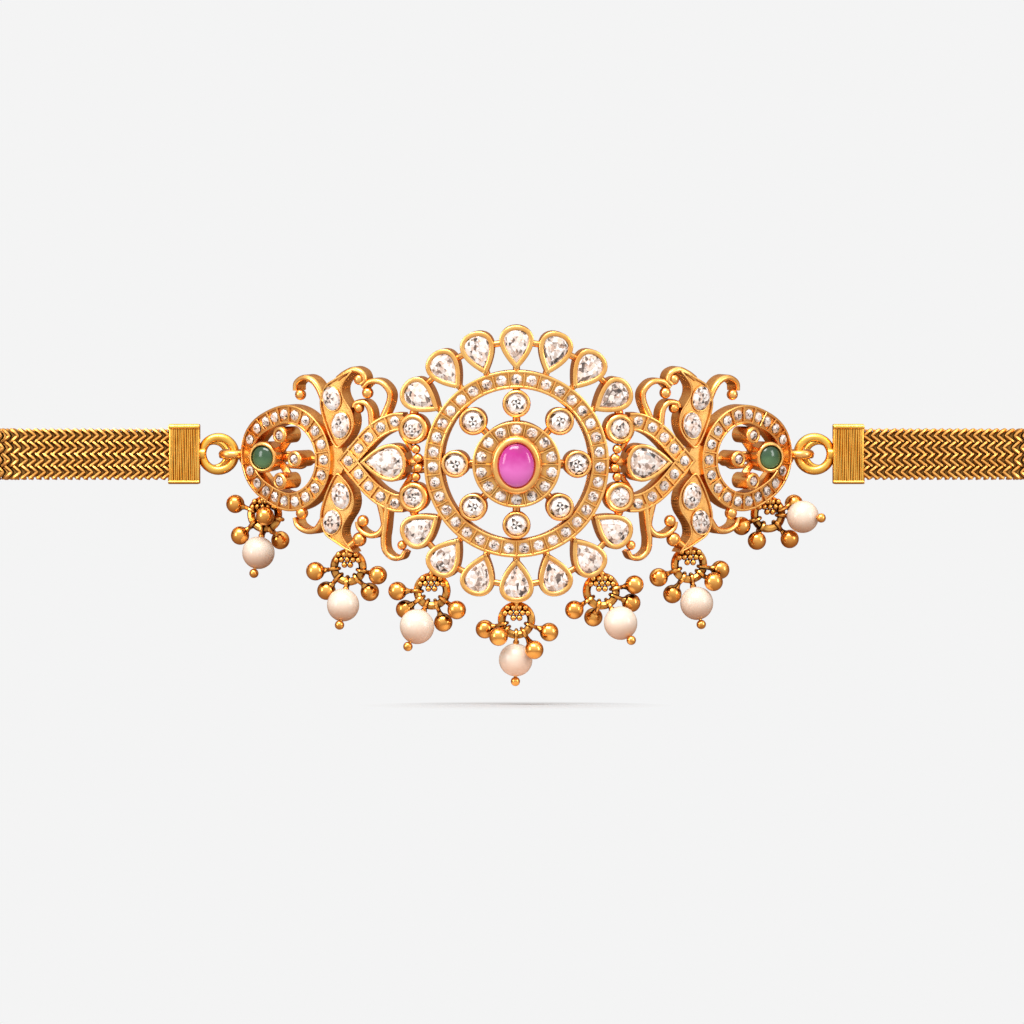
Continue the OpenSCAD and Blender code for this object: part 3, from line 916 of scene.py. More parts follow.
@dataclass(frozen=True)
class PearlSkin:
    """A pearl's cream skin clouded with rose, with painted shade that is warmer and darker where it faces
    down.
    """

    name: str = "pearl"
    cream: Colour = (0.68, 0.59, 0.49)
    rose: Colour = (0.68, 0.48, 0.37)
    under: Colour = (0.7, 0.38, 0.22)
    clouds: float = 260.0
    ripples: float = 900.0

    def make(self) -> bpy.types.Material:
        """Builds the finish.

        Returns:
            The material.
        """
        nodes = Nodes(self.name)
        facing = nodes.parts(nodes.add("ShaderNodeNewGeometry").outputs["Normal"])["Z"]
        cloud = nodes.spread(nodes.noise(self.clouds), 0.0, 0.6, 0.35, 0.7)
        tint = nodes.mix(cloud, self.cream, self.rose)
        # Painted shade: the skin turns to the warm under colour where it faces down.
        nodes.link(nodes.mix(nodes.spread(facing, 0.9, 0.0, -1.0, 0.15), tint, self.under), nodes.base)
        nodes.bump(nodes.noise(self.ripples, 2.0), 0.02 * MM, 0.3)
        nodes.set(
            Roughness=0.3,
            Subsurface_Weight=0.12,
            Subsurface_Radius=(0.0012, 0.0008, 0.0006),
            Coat_Weight=0.35,
            Coat_Roughness=0.16,
        )
        return nodes.material


class Finishes:
    """All finishes of the armlet, each made once."""

    def __init__(self) -> None:
        """Builds every finish."""
        # Each gold paints shade into its recesses. The drop gold is a deeper gold of its own with the
        # darkest painted shade, and the woven gold paints the gaps between its loops near black.
        self.gold = Gold("ornament_gold", grain=0.12, open=0.9, relief=2400.0).make()
        self.antique = Gold(
            "drop_gold", (1.0, 0.5, 0.12), (0.6, 0.19, 0.02), (0.05, 0.006, 0.0),
            smooth=0.1, worn=0.22, reach=1.8 * MM, grain=0.2, shut=0.35, open=0.98,
        ).make()
        self.woven = Gold(
            "woven_gold", (0.88, 0.43, 0.11), (0.6, 0.22, 0.03), (0.02, 0.002, 0.0),
            smooth=0.2, worn=0.34, reach=1.1 * MM, grain=0.35, shut=0.45, open=1.0,
        ).make()
        self.cap = Gold(
            "cap_gold", (1.0, 0.58, 0.12), (0.88, 0.4, 0.04), (0.3, 0.06, 0.002),
            smooth=0.16, worn=0.3, reach=0.5 * MM, grain=0.5, shut=0.2, open=0.8,
        ).make()
        self.clear = ClearStone().make()
        self.brilliant = ClearStone("brilliant_stone", chance=0.2, warm_reflection=(1.0, 0.9, 0.84)).make()
        self.ruby = Cabochon(
            "ruby", (0.2, 0.002, 0.08), (0.4, 0.008, 0.2), (0.62, 0.12, 0.42), low=-2.6, high=2.6
        ).make()
        self.emerald = Cabochon(
            "emerald", (0.008, 0.032, 0.012), (0.03, 0.08, 0.03), (0.1, 0.2, 0.08), low=-1.6, high=1.2
        ).make()
        self.pearl = PearlSkin().make()


@dataclass
class CutStone:
    """A faceted stone on an outline about its middle.

    Its rows of corners each have a reach, as a share of the outline, and a height, as a share of the
    crown or the pavilion. Each facet is given a painted reflection, and a painted dark edge of shade is
    added where edge, its width, is more than nothing.
    """

    name: str
    outline: Sequence[Vector]
    crown: float
    pavilion: float
    seed: int
    table: float = 0.56
    star: float = 0.5
    rays: Sequence[float] = (1.0, 0.1, 0.85, 0.0)
    points: Sequence[float] = (0.3, 1.0, 0.7)
    chances: Sequence[float] = (0.1, 0.45, 0.6, 0.75, 0.9, 1.0, 1.0)
    edge: float = 0.0
    edge_rise: float = 0.42
    upper: Flat = (0.84, 0.58)
    lower: Flat = (0.45, -0.62)

    def make(self) -> bpy.types.Mesh:
        """Cuts the stone as the hull of its corners, and splits its table into wedges painted with the
        reflections of the facets below.

        Returns:
            The stone's mesh.
        """
        work = Work()
        bm = work.bm
        for i, p in enumerate(self.outline):
            corners = [(1.0, 0.0)]
            if self.edge:
                corners.append((1 - self.edge, self.crown * self.edge_rise))
            if i % 2:
                corners.append((self.upper[0], self.crown * self.upper[1]))
            else:
                corners += [(self.table, self.crown), (self.lower[0], self.pavilion * self.lower[1])]
            for reach, height in corners:
                bm.verts.new((p.x * reach, p.y * reach, height))
        bm.verts.new((0.0, 0.0, -self.pavilion))
        hull = bmesh.ops.convex_hull(bm, input=bm.verts[:], use_existing_faces=False)
        inside = [g for g in hull["geom_interior"] if isinstance(g, bmesh.types.BMVert)]
        bmesh.ops.delete(bm, geom=inside, context="VERTS")
        bmesh.ops.dissolve_limit(bm, angle_limit=math.radians(1.5), verts=bm.verts[:], edges=bm.edges[:])
        bmesh.ops.recalc_face_normals(bm, faces=bm.faces[:])
        table = max(bm.faces, key=lambda f: f.calc_center_median().z)
        inner = bmesh.ops.inset_individual(bm, faces=[table], thickness=self.star * self.crown)["faces"]
        centre = bmesh.ops.poke(bm, faces=[table])["faces"]
        dice = random.Random(self.seed)
        tone = bm.faces.layers.float["tone"]
        # Painted reflections: each facet takes a chance light or dark, and the low facets of an edged stone
        # a painted dark edge of shade.
        for face in bm.faces:
            face[tone] = dice.choice(self.chances)
            if self.edge and max(v.co.z for v in face.verts) < 0.5 * self.crown:
                face[tone] = -1.0
        # The table's wedges and star are painted with the reflections of the facets below.
        for i, face in enumerate(centre):
            face[tone] = self.rays[i % len(self.rays)] + dice.uniform(-0.1, 0.1)
        for i, face in enumerate(inner):
            face[tone] = self.points[i % len(self.points)]
        return work.shape(self.name)


class Stones:
    """The cuts that the armlet is set with, each at a radius or half height of one."""

    def __init__(self) -> None:
        """Cuts every stone."""
        circle, octagon = ring_points(16, 1.0), ring_points(8, 1.0)
        pear = [p - AWAY * 0.12 for p in pear_points(1.0, 20)]
        soft = (0.9, 0.5, 1.0, 0.62, 0.35)
        self.rounds = [CutStone(f"round_{k}", circle, 0.3, 0.95, k).make() for k in range(4)]
        self.small = [
            CutStone(f"small_{k}", octagon, 0.36, 0.5, 10 + k, table=0.6, edge=0.2).make() for k in range(5)
        ]
        self.pears = [CutStone(f"pear_{k}", pear, 0.16, 0.5, 20 + k, rays=soft).make() for k in range(5)]


@dataclass
class Heights:
    """The levels that the ornament is built on, out from the arm's round, in millimetres."""

    back: float = -2.0
    floor: float = -0.14
    rim: float = 0.12
    bar_over: float = 0.03
    bar_under: float = 0.1

    def channel(self, half: float, lip: float) -> list[Flat]:
        """The section of a channel between two rounded rims.

        Args:
            half: Half the channel's width, outside the rims.
            lip: How thick a rim is.

        Returns:
            The section's points.
        """
        rim = rim_section(lip, self.rim, self.back, self.floor)
        return mirrored([(x + half, y) for x, y in rim])


@dataclass
class Jeweller:
    """What each builder needs at hand, and the settings that all of them share."""

    finishes: Finishes
    stones: Stones
    levels: Heights = field(default_factory=Heights)
    dice: random.Random = field(default_factory=lambda: random.Random(7))
    bar_half: float = 0.16
    bar_inset: float = 0.2
    channel_stone: float = 0.68
    channel_level: float = -0.06

    def channel_bar(self, work: Work, start: Vector, end: Vector) -> None:
        """Adds a bar that stands a little over the rims of its channel."""
        levels = self.levels
        work.bar(start, end, self.bar_half, levels.rim + levels.bar_over, levels.floor - levels.bar_under)

    def collet(self, work: Work, at: Flat, outer: float, inner: float, top: float, seat: float) -> None:
        """Sets a round tube with a rolled lip.

        Args:
            work: The work that it is soldered to.
            at: Its middle.
            outer: Its radius.
            inner: The stone's radius.
            top: The height of its lip.
            seat: How deep under the lip its floor lies.
        """
        lip = outer - inner
        back = self.levels.back
        profile = [
            (0.0, top - seat),
            (inner, top - seat),
            (inner, top - 0.35 * lip - 0.05),
            (inner + 0.12 * lip, top - 0.1 * lip),
            (inner + 0.4 * lip, top),
            (inner + 0.7 * lip, top - 0.1 * lip),
            (inner + 0.95 * lip, top - 0.45 * lip),
            (outer, top - lip),
            (outer * 0.94, back),
            (0.0, back),
        ]
        work.turned(profile, 28, placed((*at, 0.0)))

    def pear_collet(self, work: Work, at: Flat, turn: float, half: float, top: float, wall: float) -> None:
        """Sets a pear-shaped box with a rolled lip.

        Args:
            work: The work that it is soldered to.
            at: Its middle.
            turn: Which way its round end points, in degrees to the left of up.
            half: Half its height.
            top: The height of its lip.
            wall: How thick its wall is.
        """
        where = placed((*at, 0.0), turn)
        points = pear_points(half, 32)
        work.wall(rim_section(wall, top, self.levels.back), [where @ p for p in points])
        work.plate([where @ (p * 0.9) for p in points], top - 1.5, self.levels.back + 0.1)

    def small_stone(self, work: Work, at: Flat, radius: float, height: float) -> None:
        """Lays a small stone at a chance turn.

        Args:
            work: The stones' work.
            at: Its middle.
            radius: Its radius.
            height: The height of its girdle.
        """
        cut = self.dice.choice(self.stones.small)
        work.stamp(cut, placed((*at, height), self.dice.uniform(0, 360), radius))

    def stone_circle(self, work: Work, count: int, reach: float, radius: float, height: float) -> None:
        """Lays small stones in a circle about the medallion's middle.

        Args:
            work: The stones' work.
            count: How many stones there are.
            reach: The circle's radius.
            radius: A stone's radius.
            height: The height of their girdles.
        """
        for i in range(count):
            at = spoke(math.tau * i / count) * reach
            self.small_stone(work, (at.x, at.y), radius, height)

    def round_stone(self, work: Work, at: Flat, radius: float, height: float, flat: float = 1.0) -> None:
        """Lays a round brilliant at a chance turn.

        Args:
            work: The stones' work.
            at: Its middle.
            radius: Its radius.
            height: The height of its girdle.
            flat: How deep it is cut, as a share.
        """
        cut = self.dice.choice(self.stones.rounds)
        sizes = (radius, radius, radius * flat)
        work.stamp(cut, placed((*at, height), self.dice.uniform(0, 360), sizes))

    def frame_gold(self, name: str, work: Work, place: Place = ARM.bend) -> None:
        """Finishes a gold part of the ornament's frame."""
        Piece(name, work, self.finishes.gold, Slot.GOLD, ["ornament_frame"], place).make()

    def clear_stones(self, name: str, work: Work, *nodes: str) -> None:
        """Finishes a piece of clear stones."""
        Piece(name, work, self.finishes.clear, Slot.CLEAR, nodes, crease=None).make()


def dome_profile(
    base: float, girdle: float, top: float, reach: float, wall: float, steps: int
) -> list[Flat]:
    """The profile of a cabochon.

    Args:
        base: The height of its flat base.
        girdle: The height at which its dome starts.
        top: The height of the dome's top.
        reach: The dome's radius at the girdle.
        wall: Its radius at the base.
        steps: How many steps the dome has.

    Returns:
        The profile's points.
    """
    turns = [math.radians(90 * k / steps) for k in range(steps)]
    dome = [(reach * math.cos(t), girdle + (top - girdle) * math.sin(t)) for t in turns]
    return [(0.0, base), (wall, base), *dome, (0.0, top)]


@dataclass
class Medallion:
    """The middle: a stone-set ring, eight collets and a halo round the ruby."""

    tools: Jeweller
    ring_outer: float = 11.75
    ring_inner: float = 9.45
    ring_lip: float = 0.4
    ring_stones: int = 35
    stone: float = 0.7
    stone_level: float = -0.08
    halo_inner: float = 2.6
    halo_mid: float = 4.4
    halo_outer: float = 5.4
    halo_lip: float = 0.36
    halo_floor: float = 1.08
    halo_rise: float = 0.34
    halo_stones: int = 14
    halo_stone_over: float = 0.16
    collets: int = 8
    collet_place: float = 7.6
    collet_outer: float = 1.75
    collet_stone: float = 1.34
    collet_top: float = 0.98
    post_ends: Flat = (5.0, 9.7)
    post_level: float = -1.2
    ruby_half: Flat = (2.08, 2.7)
    ruby_gap: float = 0.04
    bezel_width: float = 1.0
    bezel_top: float = 2.45

    def ring(self, gold: Work, stones: Work) -> None:
        """Adds the channel ring with a bar between every two of its stones.

        Args:
            gold: The medallion's gold.
            stones: The ring's stones.
        """
        tools = self.tools
        half = (self.ring_outer - self.ring_inner) / 2
        mid = (self.ring_outer + self.ring_inner) / 2
        gold.turned([(mid + x, y) for x, y in tools.levels.channel(half, self.ring_lip)], 160)
        for i in range(self.ring_stones):
            way = spoke(math.tau * (i + 0.5) / self.ring_stones)
            inner, outer = mid - half + tools.bar_inset, mid + half - tools.bar_inset
            tools.channel_bar(gold, way * inner, way * outer)
        tools.stone_circle(stones, self.ring_stones, mid, self.stone, self.stone_level)

    def halo(self, gold: Work, stones: Work) -> None:
        """Adds the raised halo with its stones, and the ruby's broad bezel.

        Args:
            gold: The medallion's gold.
            stones: The halo's stones.
        """
        tools, floor, back = self.tools, self.halo_floor, self.tools.levels.back
        crest, sunk = floor + self.halo_rise, floor - tools.levels.bar_under
        rim = [(self.halo_outer + x, y) for x, y in rim_section(self.halo_lip, crest, back, floor)]
        gold.turned([(0.0, back), *rim, (0.0, floor)], 72)
        for i in range(self.halo_stones):
            way = spoke(math.tau * (i + 0.5) / self.halo_stones)
            start, end = way * self.halo_inner, way * (self.halo_outer - tools.bar_inset)
            gold.bar(start, end, tools.bar_half, crest, sunk)
        top, width = self.bezel_top, self.bezel_width
        line = ring_points(56, *(half + self.ruby_gap + width for half in self.ruby_half))
        section = [
            (0.0, sunk),
            (0.0, top - 0.75),
            (-0.1 * width, top - 0.4),
            (-0.32 * width, top - 0.12),
            (-0.6 * width, top),
            (-0.85 * width, top - 0.06),
            (-width, top - 0.22),
            (-width, sunk),
        ]
        gold.wall(section, line)
        level = floor + self.halo_stone_over
        tools.stone_circle(stones, self.halo_stones, self.halo_mid, self.stone, level)

    def brilliant(self, gold: Work, number: int) -> None:
        """Adds one of the collets on its post, with its stone.

        Args:
            gold: The medallion's gold.
            number: The collet's number, to the right from the top.
        """
        tools = self.tools
        way = spoke(math.tau * (number - 1) / self.collets)
        at = (way.x * self.collet_place, way.y * self.collet_place)
        tools.collet(gold, at, self.collet_outer, self.collet_stone, self.collet_top, 0.8)
        start, end = self.post_ends
        gold.rod(way * start, way * end, self.post_level, 0.5, 10)
        gem = Work()
        tools.round_stone(gem, at, self.collet_stone - 0.03, self.collet_top - 0.42)
        nodes = [f"round_stone_{number}"]
        Piece(f"brilliant_{number}", gem, tools.finishes.brilliant, Slot.CLEAR, nodes, crease=None).make()

    def ruby(self) -> None:
        """Sets the ruby, a smooth oval dome."""
        base, girdle, top = (self.halo_floor + rise for rise in (0.05, 1.35, 2.35))
        oval = placed((0, 0, 0), 0, (*self.ruby_half, 1.0))
        gem = Work().turned(dome_profile(base, girdle, top, 1.0, 0.99, 14), 64, oval)
        Piece("ruby_cabochon", gem, self.tools.finishes.ruby, Slot.RUBY, ["ruby"], crease=50.0).make()

    def make(self) -> None:
        """Builds the medallion's gold and all its stones."""
        tools = self.tools
        gold, ring, halo = Work(), Work(), Work()
        self.ring(gold, ring)
        self.halo(gold, halo)
        for number in range(1, self.collets + 1):
            self.brilliant(gold, number)
        tools.frame_gold("medallion_gold", gold)
        tools.clear_stones("ring_stones", ring, "ring_pave")
        tools.clear_stones("halo_stones", halo, "halo_pave")
        self.ruby()


@dataclass
class Crown:
    """The fourteen pears that stand round the medallion, their points towards it."""

    tools: Jeweller
    half: float = 2.81
    wall: float = 0.62
    place: float = 14.59
    pitch: float = 18.6
    top: float = 0.42
    foot_ends: Flat = (11.4, 12.4)
    foot_level: float = -1.1
    link_place: float = 15.2
    link_half: float = 0.8
    link_level: float = -1.05
    stone_half: float = 2.24
    stone_shift: float = 0.42
    stone_level: float = 0.12

    def turn(self, i: int) -> float:
        """Where a pear stands, in degrees to the right of straight up."""
        return (i - 3) * self.pitch if i < 7 else 180 + (i - 10) * self.pitch

    def make(self) -> None:
        """Builds the pears' settings, the links between them and their stones."""
        tools, gold = self.tools, Work()
        for i in range(14):
            turn = self.turn(i)
            way = spoke(math.radians(turn))
            at = way * self.place
            tools.pear_collet(gold, (at.x, at.y), -turn, self.half, self.top, self.wall)
            gold.rod(way * self.foot_ends[0], way * self.foot_ends[1], self.foot_level, 0.45)
            seat = placed((at.x, at.y, self.stone_level), -turn)
            shift = placed((0, self.stone_shift, 0), 0, self.stone_half)
            gem = Work().stamp(tools.stones.pears[i * 3 % 5], seat @ shift)
            tools.clear_stones(f"pear_stone_{i + 1}", gem, f"crown_pear_{i + 1}")
        for i in [*range(6), *range(7, 13)]:
            way = spoke(math.radians(self.turn(i) + self.pitch / 2))
            middle, reach = way * self.link_place, Vector((way.y, -way.x, 0)) * self.link_half
            gold.rod(middle - reach, middle + reach, self.link_level, 0.42, 10)
        tools.frame_gold("crown_gold", gold)


@dataclass(frozen=True)
class Scroll:
    """A scroll's line from its foot to its tip, and the middle and radius of the ball at its tip."""

    line: Sequence[Flat]
    ball: Flat
    radius: float


SCROLLS = (
    Scroll(((25.8, 7.4), (26.6, 9), (27.65, 10), (29, 10.25), (30.15, 9.6), (30.3, 8.6)), (29.6, 8.1), 0.72),
    Scroll(
        ((23.6, 10.3), (22.6, 11), (21.3, 11.5), (20.1, 11.1), (19.75, 10.2), (20.3, 9.7)),
        (20.65, 10.3), 0.72,
    ),
    Scroll(((17.3, 5.6), (16.4, 7.6), (16.4, 8.9), (17.5, 10), (19, 10.1), (20, 9.3)), (19.45, 8.65), 0.75),
    Scroll(((18.8, 4.3), (19, 6.4), (19.8, 7.4), (20.95, 7.35), (21.25, 6.8)), (20.65, 6.7), 0.66),
    Scroll(((25.8, -7.3), (27, -8.8), (28.6, -9.1), (30, -8.5), (30.4, -7.5)), (29.4, -6.9), 0.8),
    Scroll(((22.2, -10.9), (21.6, -10.4), (21.1, -10)), (20.65, -9.85), 0.92),
    Scroll(
        ((17.7, -5.3), (17.3, -6.9), (17.2, -8.1), (18.05, -9.1), (19.4, -9.25), (20.6, -8.5), (20.9, -7.6)),
        (20.15, -7.5), 0.76,
    ),
    Scroll(
        ((16.7, -5.2), (17, -8.2), (17.2, -9.7), (17, -11.1), (16, -12), (14.8, -11.9), (14.3, -11.1)),
        (14.75, -10.4), 0.62,
    ),
)


@dataclass
class Wing:
    """One side of the ornament: the heart, the leaves and the scrolls."""

    tools: Jeweller
    side: Side
    arm: Sequence[Flat] = ((14.5, 5.1), (15.8, 5.05), (17.6, 4.3), (19.27, 3.0), (20.7, 1.5), (22.1, 0.0))
    arm_stones: Sequence[Flat] = ((22.1, 0.0), (20.6, 1.62), (19.2, 3.05), (17.55, 4.35), (15.6, 5.15))
    channel_half: float = 1.15
    channel_lip: float = 0.34
    lobe: Flat = (13.15, 4.3)
    lobe_outer: float = 1.98
    lobe_stone: float = 1.24
    lobe_top: float = 0.36
    lobe_knob: Flat = (13.3, 6.25)
    grains: Sequence[Flat] = ((12.55, 0.62), (12.85, 1.75))
    grain: float = 0.62
    strut: Sequence[Flat] = ((13.6, 1.6), (15.0, 3.6))
    link: Sequence[Flat] = ((11.3, 0.0), (14.4, 0.0))
    pear_at: Flat = (16.85, 0.0)
    pear_half: float = 3.1
    pear_stone: float = 2.52
    leaf: Sequence[Flat] = (
        (23.8, 1.6), (25.3, 4.2), (26.1, 6.6), (26.0, 8.2), (25.3, 9.5), (24.0, 10.3), (22.5, 11.1),
        (21.2, 11.5), (22.3, 10.2), (22.8, 9.3), (22.7, 8.3), (22.1, 7.3), (21.4, 6.3), (21.1, 5.0),
        (21.5, 3.5), (22.6, 2.2),
    )
    leaf_face: float = -0.08
    leaf_stones: Sequence[Sequence[float]] = (
        (24.45, 7.8, 1.22, 1.5, -18.0),
        (23.15, 4.45, 1.24, 1.62, 14.0),
    )
    leaf_joint: Sequence[Flat] = ((22.6, 0), (23.6, 2.4), (25.1, 1.6), (25.1, -1.6), (23.6, -2.4))
    scroll_half: float = 0.39

    def heart(self, gold: Work, paves: Work) -> None:
        """Adds the heart's channel with its bars and small stones.

        Args:
            gold: The wing's gold.
            paves: The small stones of the channel.
        """
        tools = self.tools
        upper = smooth_line(self.arm, 5)
        line = upper + [Vector((p.x, -p.y)) for p in reversed(upper[:-1])]
        gold.loft(tools.levels.channel(self.channel_half, self.channel_lip), flat_stations(line))
        for here, there in zip(self.arm_stones, self.arm_stones[1:]):
            for flip in (1, -1):
                a, b = (Vector((p[0], p[1] * flip, 0)) for p in (here, there))
                way = (b - a).normalized()
                across = Vector((-way.y, way.x, 0)) * (self.channel_half - tools.bar_inset)
                tools.channel_bar(gold, (a + b) / 2 - across, (a + b) / 2 + across)
        for i, at in enumerate(self.arm_stones):
            for flip in (1, -1) if i else (1,):
                tools.small_stone(paves, (at[0], at[1] * flip), tools.channel_stone, tools.channel_level)

    def lobes(self, gold: Work, stones: Work) -> None:
        """Adds the heart's two lobes and the pear inside it.

        Args:
            gold: The wing's gold.
            stones: The set stones.
        """
        tools = self.tools
        for flip in (1, -1):
            at = (self.lobe[0], self.lobe[1] * flip)
            tools.collet(gold, at, self.lobe_outer, self.lobe_stone, self.lobe_top, 0.6)
            tools.round_stone(stones, at, self.lobe_stone, 0.06, 0.8)
            for u, v in self.grains:
                gold.ball((u, v * flip, -0.25), self.grain)
            start, end = ((u, v * flip) for u, v in self.strut)
            gold.rod(start, end, -1.1, 0.4)
            gold.ball((self.lobe_knob[0], self.lobe_knob[1] * flip, -1.0), 0.6)
        gold.rod(*self.link, -1.3, 0.55)
        tools.pear_collet(gold, self.pear_at, 90.0, self.pear_half, 1.0, 0.5)
        shift = placed((*self.pear_at, 0.72), 90.0) @ placed((0, 0.5, 0), 0, self.pear_stone)
        stones.stamp(tools.stones.pears[1 if self.side is Side.LEFT else 2], shift)

    def leaves(self, gold: Work, stones: Work) -> None:
        """Adds the two leaves, each a rimmed pocket with two oval stones.

        Args:
            gold: The leaves' gold.
            stones: The leaves' stones.
        """
        tools, levels = self.tools, self.tools.levels
        for flip in (1, -1):
            points = [(u, v * flip) for u, v in self.leaf][::flip]
            outline = smooth_line(points, 3, True)
            gold.wall(rim_section(0.26, levels.rim + 0.1, levels.back), outline)
            gold.plate(outline, self.leaf_face, levels.back + 0.05)
            for u, v, wide, high, turn in self.leaf_stones:
                where = placed((u, v * flip, 0), turn * flip)
                ring = [where @ p for p in ring_points(24, wide + 0.2, high + 0.2)]
                gold.wall(rim_section(0.16, 0.08, -0.3), ring)
                cut = tools.dice.choice(tools.stones.rounds)
                sizes = (wide + 0.06, high + 0.06, 1.2)
                stones.stamp(cut, placed((u, v * flip, 0.04), turn * flip, sizes))
        gold.plate([Vector(p) for p in self.leaf_joint], -0.45, levels.back + 0.1)

    def scrolls(self, gold: Work) -> None:
        """Adds the scrolls, rounded wires that curl in to a ball.

        Args:
            gold: The leaves' gold.
        """
        half, back = self.scroll_half, self.tools.levels.back + 0.05
        crest = [(1.0, back), (1.0, -0.36), (0.86, -0.1), (0.55, 0.06), (0.2, 0.12)]
        section = mirrored([(half * share, level) for share, level in crest])
        for scroll in SCROLLS:
            line = smooth_line(scroll.line, 5)
            end = len(line) - 1
            widths = [1.1 - 0.35 * (i / end) ** 2 for i in range(end + 1)]
            gold.loft(section, flat_stations(line, widths=widths))
            gold.ball((*scroll.ball, -0.45), scroll.radius, 16)

    def make(self) -> None:
        """Builds the wing and takes it to its side."""
        tools, side, label = self.tools, self.side, self.side.label
        gold, leaf_gold, set_stones, paves, leaf_stones = (Work() for _ in range(5))
        self.heart(gold, paves)
        self.lobes(gold, set_stones)
        self.leaves(leaf_gold, leaf_stones)
        self.scrolls(leaf_gold)
        tools.frame_gold(f"heart_gold_{label}", gold.face(side))
        tools.frame_gold(f"leaf_gold_{label}", leaf_gold.face(side))
        tools.clear_stones(f"heart_set_stones_{label}", set_stones.face(side), f"heart_stones_{label}")
        tools.clear_stones(f"heart_channel_stones_{label}", paves.face(side), f"wing_pave_{label}")
        tools.clear_stones(f"leaf_set_stones_{label}", leaf_stones.face(side), f"leaf_stones_{label}")


@dataclass
class EndEye:
    """The stone-set eye at the end of a wing, with the emerald and its small collets."""

    tools: Jeweller
    side: Side
    middle_u: float = 31.3
    mid_radius: float = 5.55
    mid_point: float = 2.125
    channel_half: float = 1.2
    channel_lip: float = 0.34
    count: int = 20
    crowding: float = math.radians(8.0)
    collets: Sequence[Sequence[float]] = (
        (29.5, 0.0, 1.1, 0.64, 1.2),
        (31.9, 2.9, 1.1, 0.64, 1.2),
        (31.9, -2.9, 1.1, 0.64, 1.2),
        (37.35, 0.0, 0.85, 0.52, 0.5),
    )
    link: Sequence[Flat] = ((25.8, 0.0), (29.5, 0.0))
    post_level: float = -1.4
    emerald_at: Flat = (34.6, 0.0)
    emerald_radius: float = 1.48
    emerald_outer: float = 1.98
    emerald_top: float = 1.5
    emerald_lean: float = math.radians(-18)

    def turn(self, step: float) -> float:
        """Where a stone lies round the eye: they crowd a little towards its round end."""
        even = math.tau * step / self.count
        return even - self.crowding * math.sin(even)

    def at(self, turn: float, out: float = 0.0) -> Vector:
        """A point of the channel.

        Args:
            turn: How far round it lies, from the eye's point.
            out: How far outside its middle line.

        Returns:
            The flat point.
        """
        tip = max(0.0, math.cos(turn)) ** 4
        reach = self.mid_radius + out + self.mid_point * tip
        return Vector((self.middle_u + reach * math.cos(turn), reach * math.sin(turn), 0.0))

    def channel(self, gold: Work, stones: Work) -> None:
        """Adds the channel with its bars and stones.

        Args:
            gold: The eye's gold.
            stones: The eye's small stones.
        """
        tools = self.tools
        line = [self.at(math.tau * k / 72) for k in range(72)]
        gold.wall(tools.levels.channel(self.channel_half, self.channel_lip), line)
        reach = self.channel_half - tools.bar_inset
        for i in range(self.count):
            turn = self.turn(i + 0.5)
            tools.channel_bar(gold, self.at(turn, -reach), self.at(turn, reach))
            here = self.at(self.turn(i))
            if i:
                tools.small_stone(stones, (here.x, here.y), tools.channel_stone, tools.channel_level)

    def lean(self) -> Matrix:
        """Leans the emerald in its tube towards the end of the wing.

        Returns:
            The turn about the tube's foot.
        """
        u, level = self.emerald_at[0], self.post_level
        foot = placed((u + 0.9, 0, level)) @ Matrix.Rotation(self.emerald_lean, 4, "Y")
        return foot @ placed((-u, 0, -level))

    def make(self) -> None:
        """Builds the eye and takes it to its side."""
        tools, side, label = self.tools, self.side, self.side.label
        gold, stones, small, tube = (Work() for _ in range(4))
        self.channel(gold, stones)
        for u, v, outer, inner, top in self.collets:
            tools.collet(gold, (u, v), outer, inner, top, 0.55)
            tools.small_stone(small, (u, v), inner - 0.03, top - 0.22)
            gold.rod(self.emerald_at, (u, v), self.post_level, 0.5)
        gold.rod(*self.link, self.post_level, 0.42)
        tools.collet(tube, self.emerald_at, self.emerald_outer, self.emerald_radius, self.emerald_top, 1.2)
        gold.stamp(tube.shape("tube"), self.lean())
        stones.stamp(small.shape("small"), Matrix.Identity(4))
        tools.frame_gold(f"eye_gold_{label}", gold.face(side))
        nodes = (f"eye_stones_{label}", f"wing_pave_{label}")
        tools.clear_stones(f"eye_channel_stones_{label}", stones.face(side), *nodes)
        self.emerald()

    def emerald(self) -> None:
        """Sets the emerald, a low dome."""
        base, girdle, top = (self.emerald_top + rise for rise in (-1.15, -0.35, 0.35))
        radius, label = self.emerald_radius, self.side.label
        profile = dome_profile(base, girdle, top, radius * 0.98, radius * 0.96, 10)
        gem = Work().turned(profile, 40, placed((*self.emerald_at, 0.0))).move(self.lean()).face(self.side)
        name, finish = f"emerald_cabochon_{label}", self.tools.finishes.emerald
        Piece(name, gem, finish, Slot.EMERALD, [f"emerald_{label}"], crease=50.0).make()


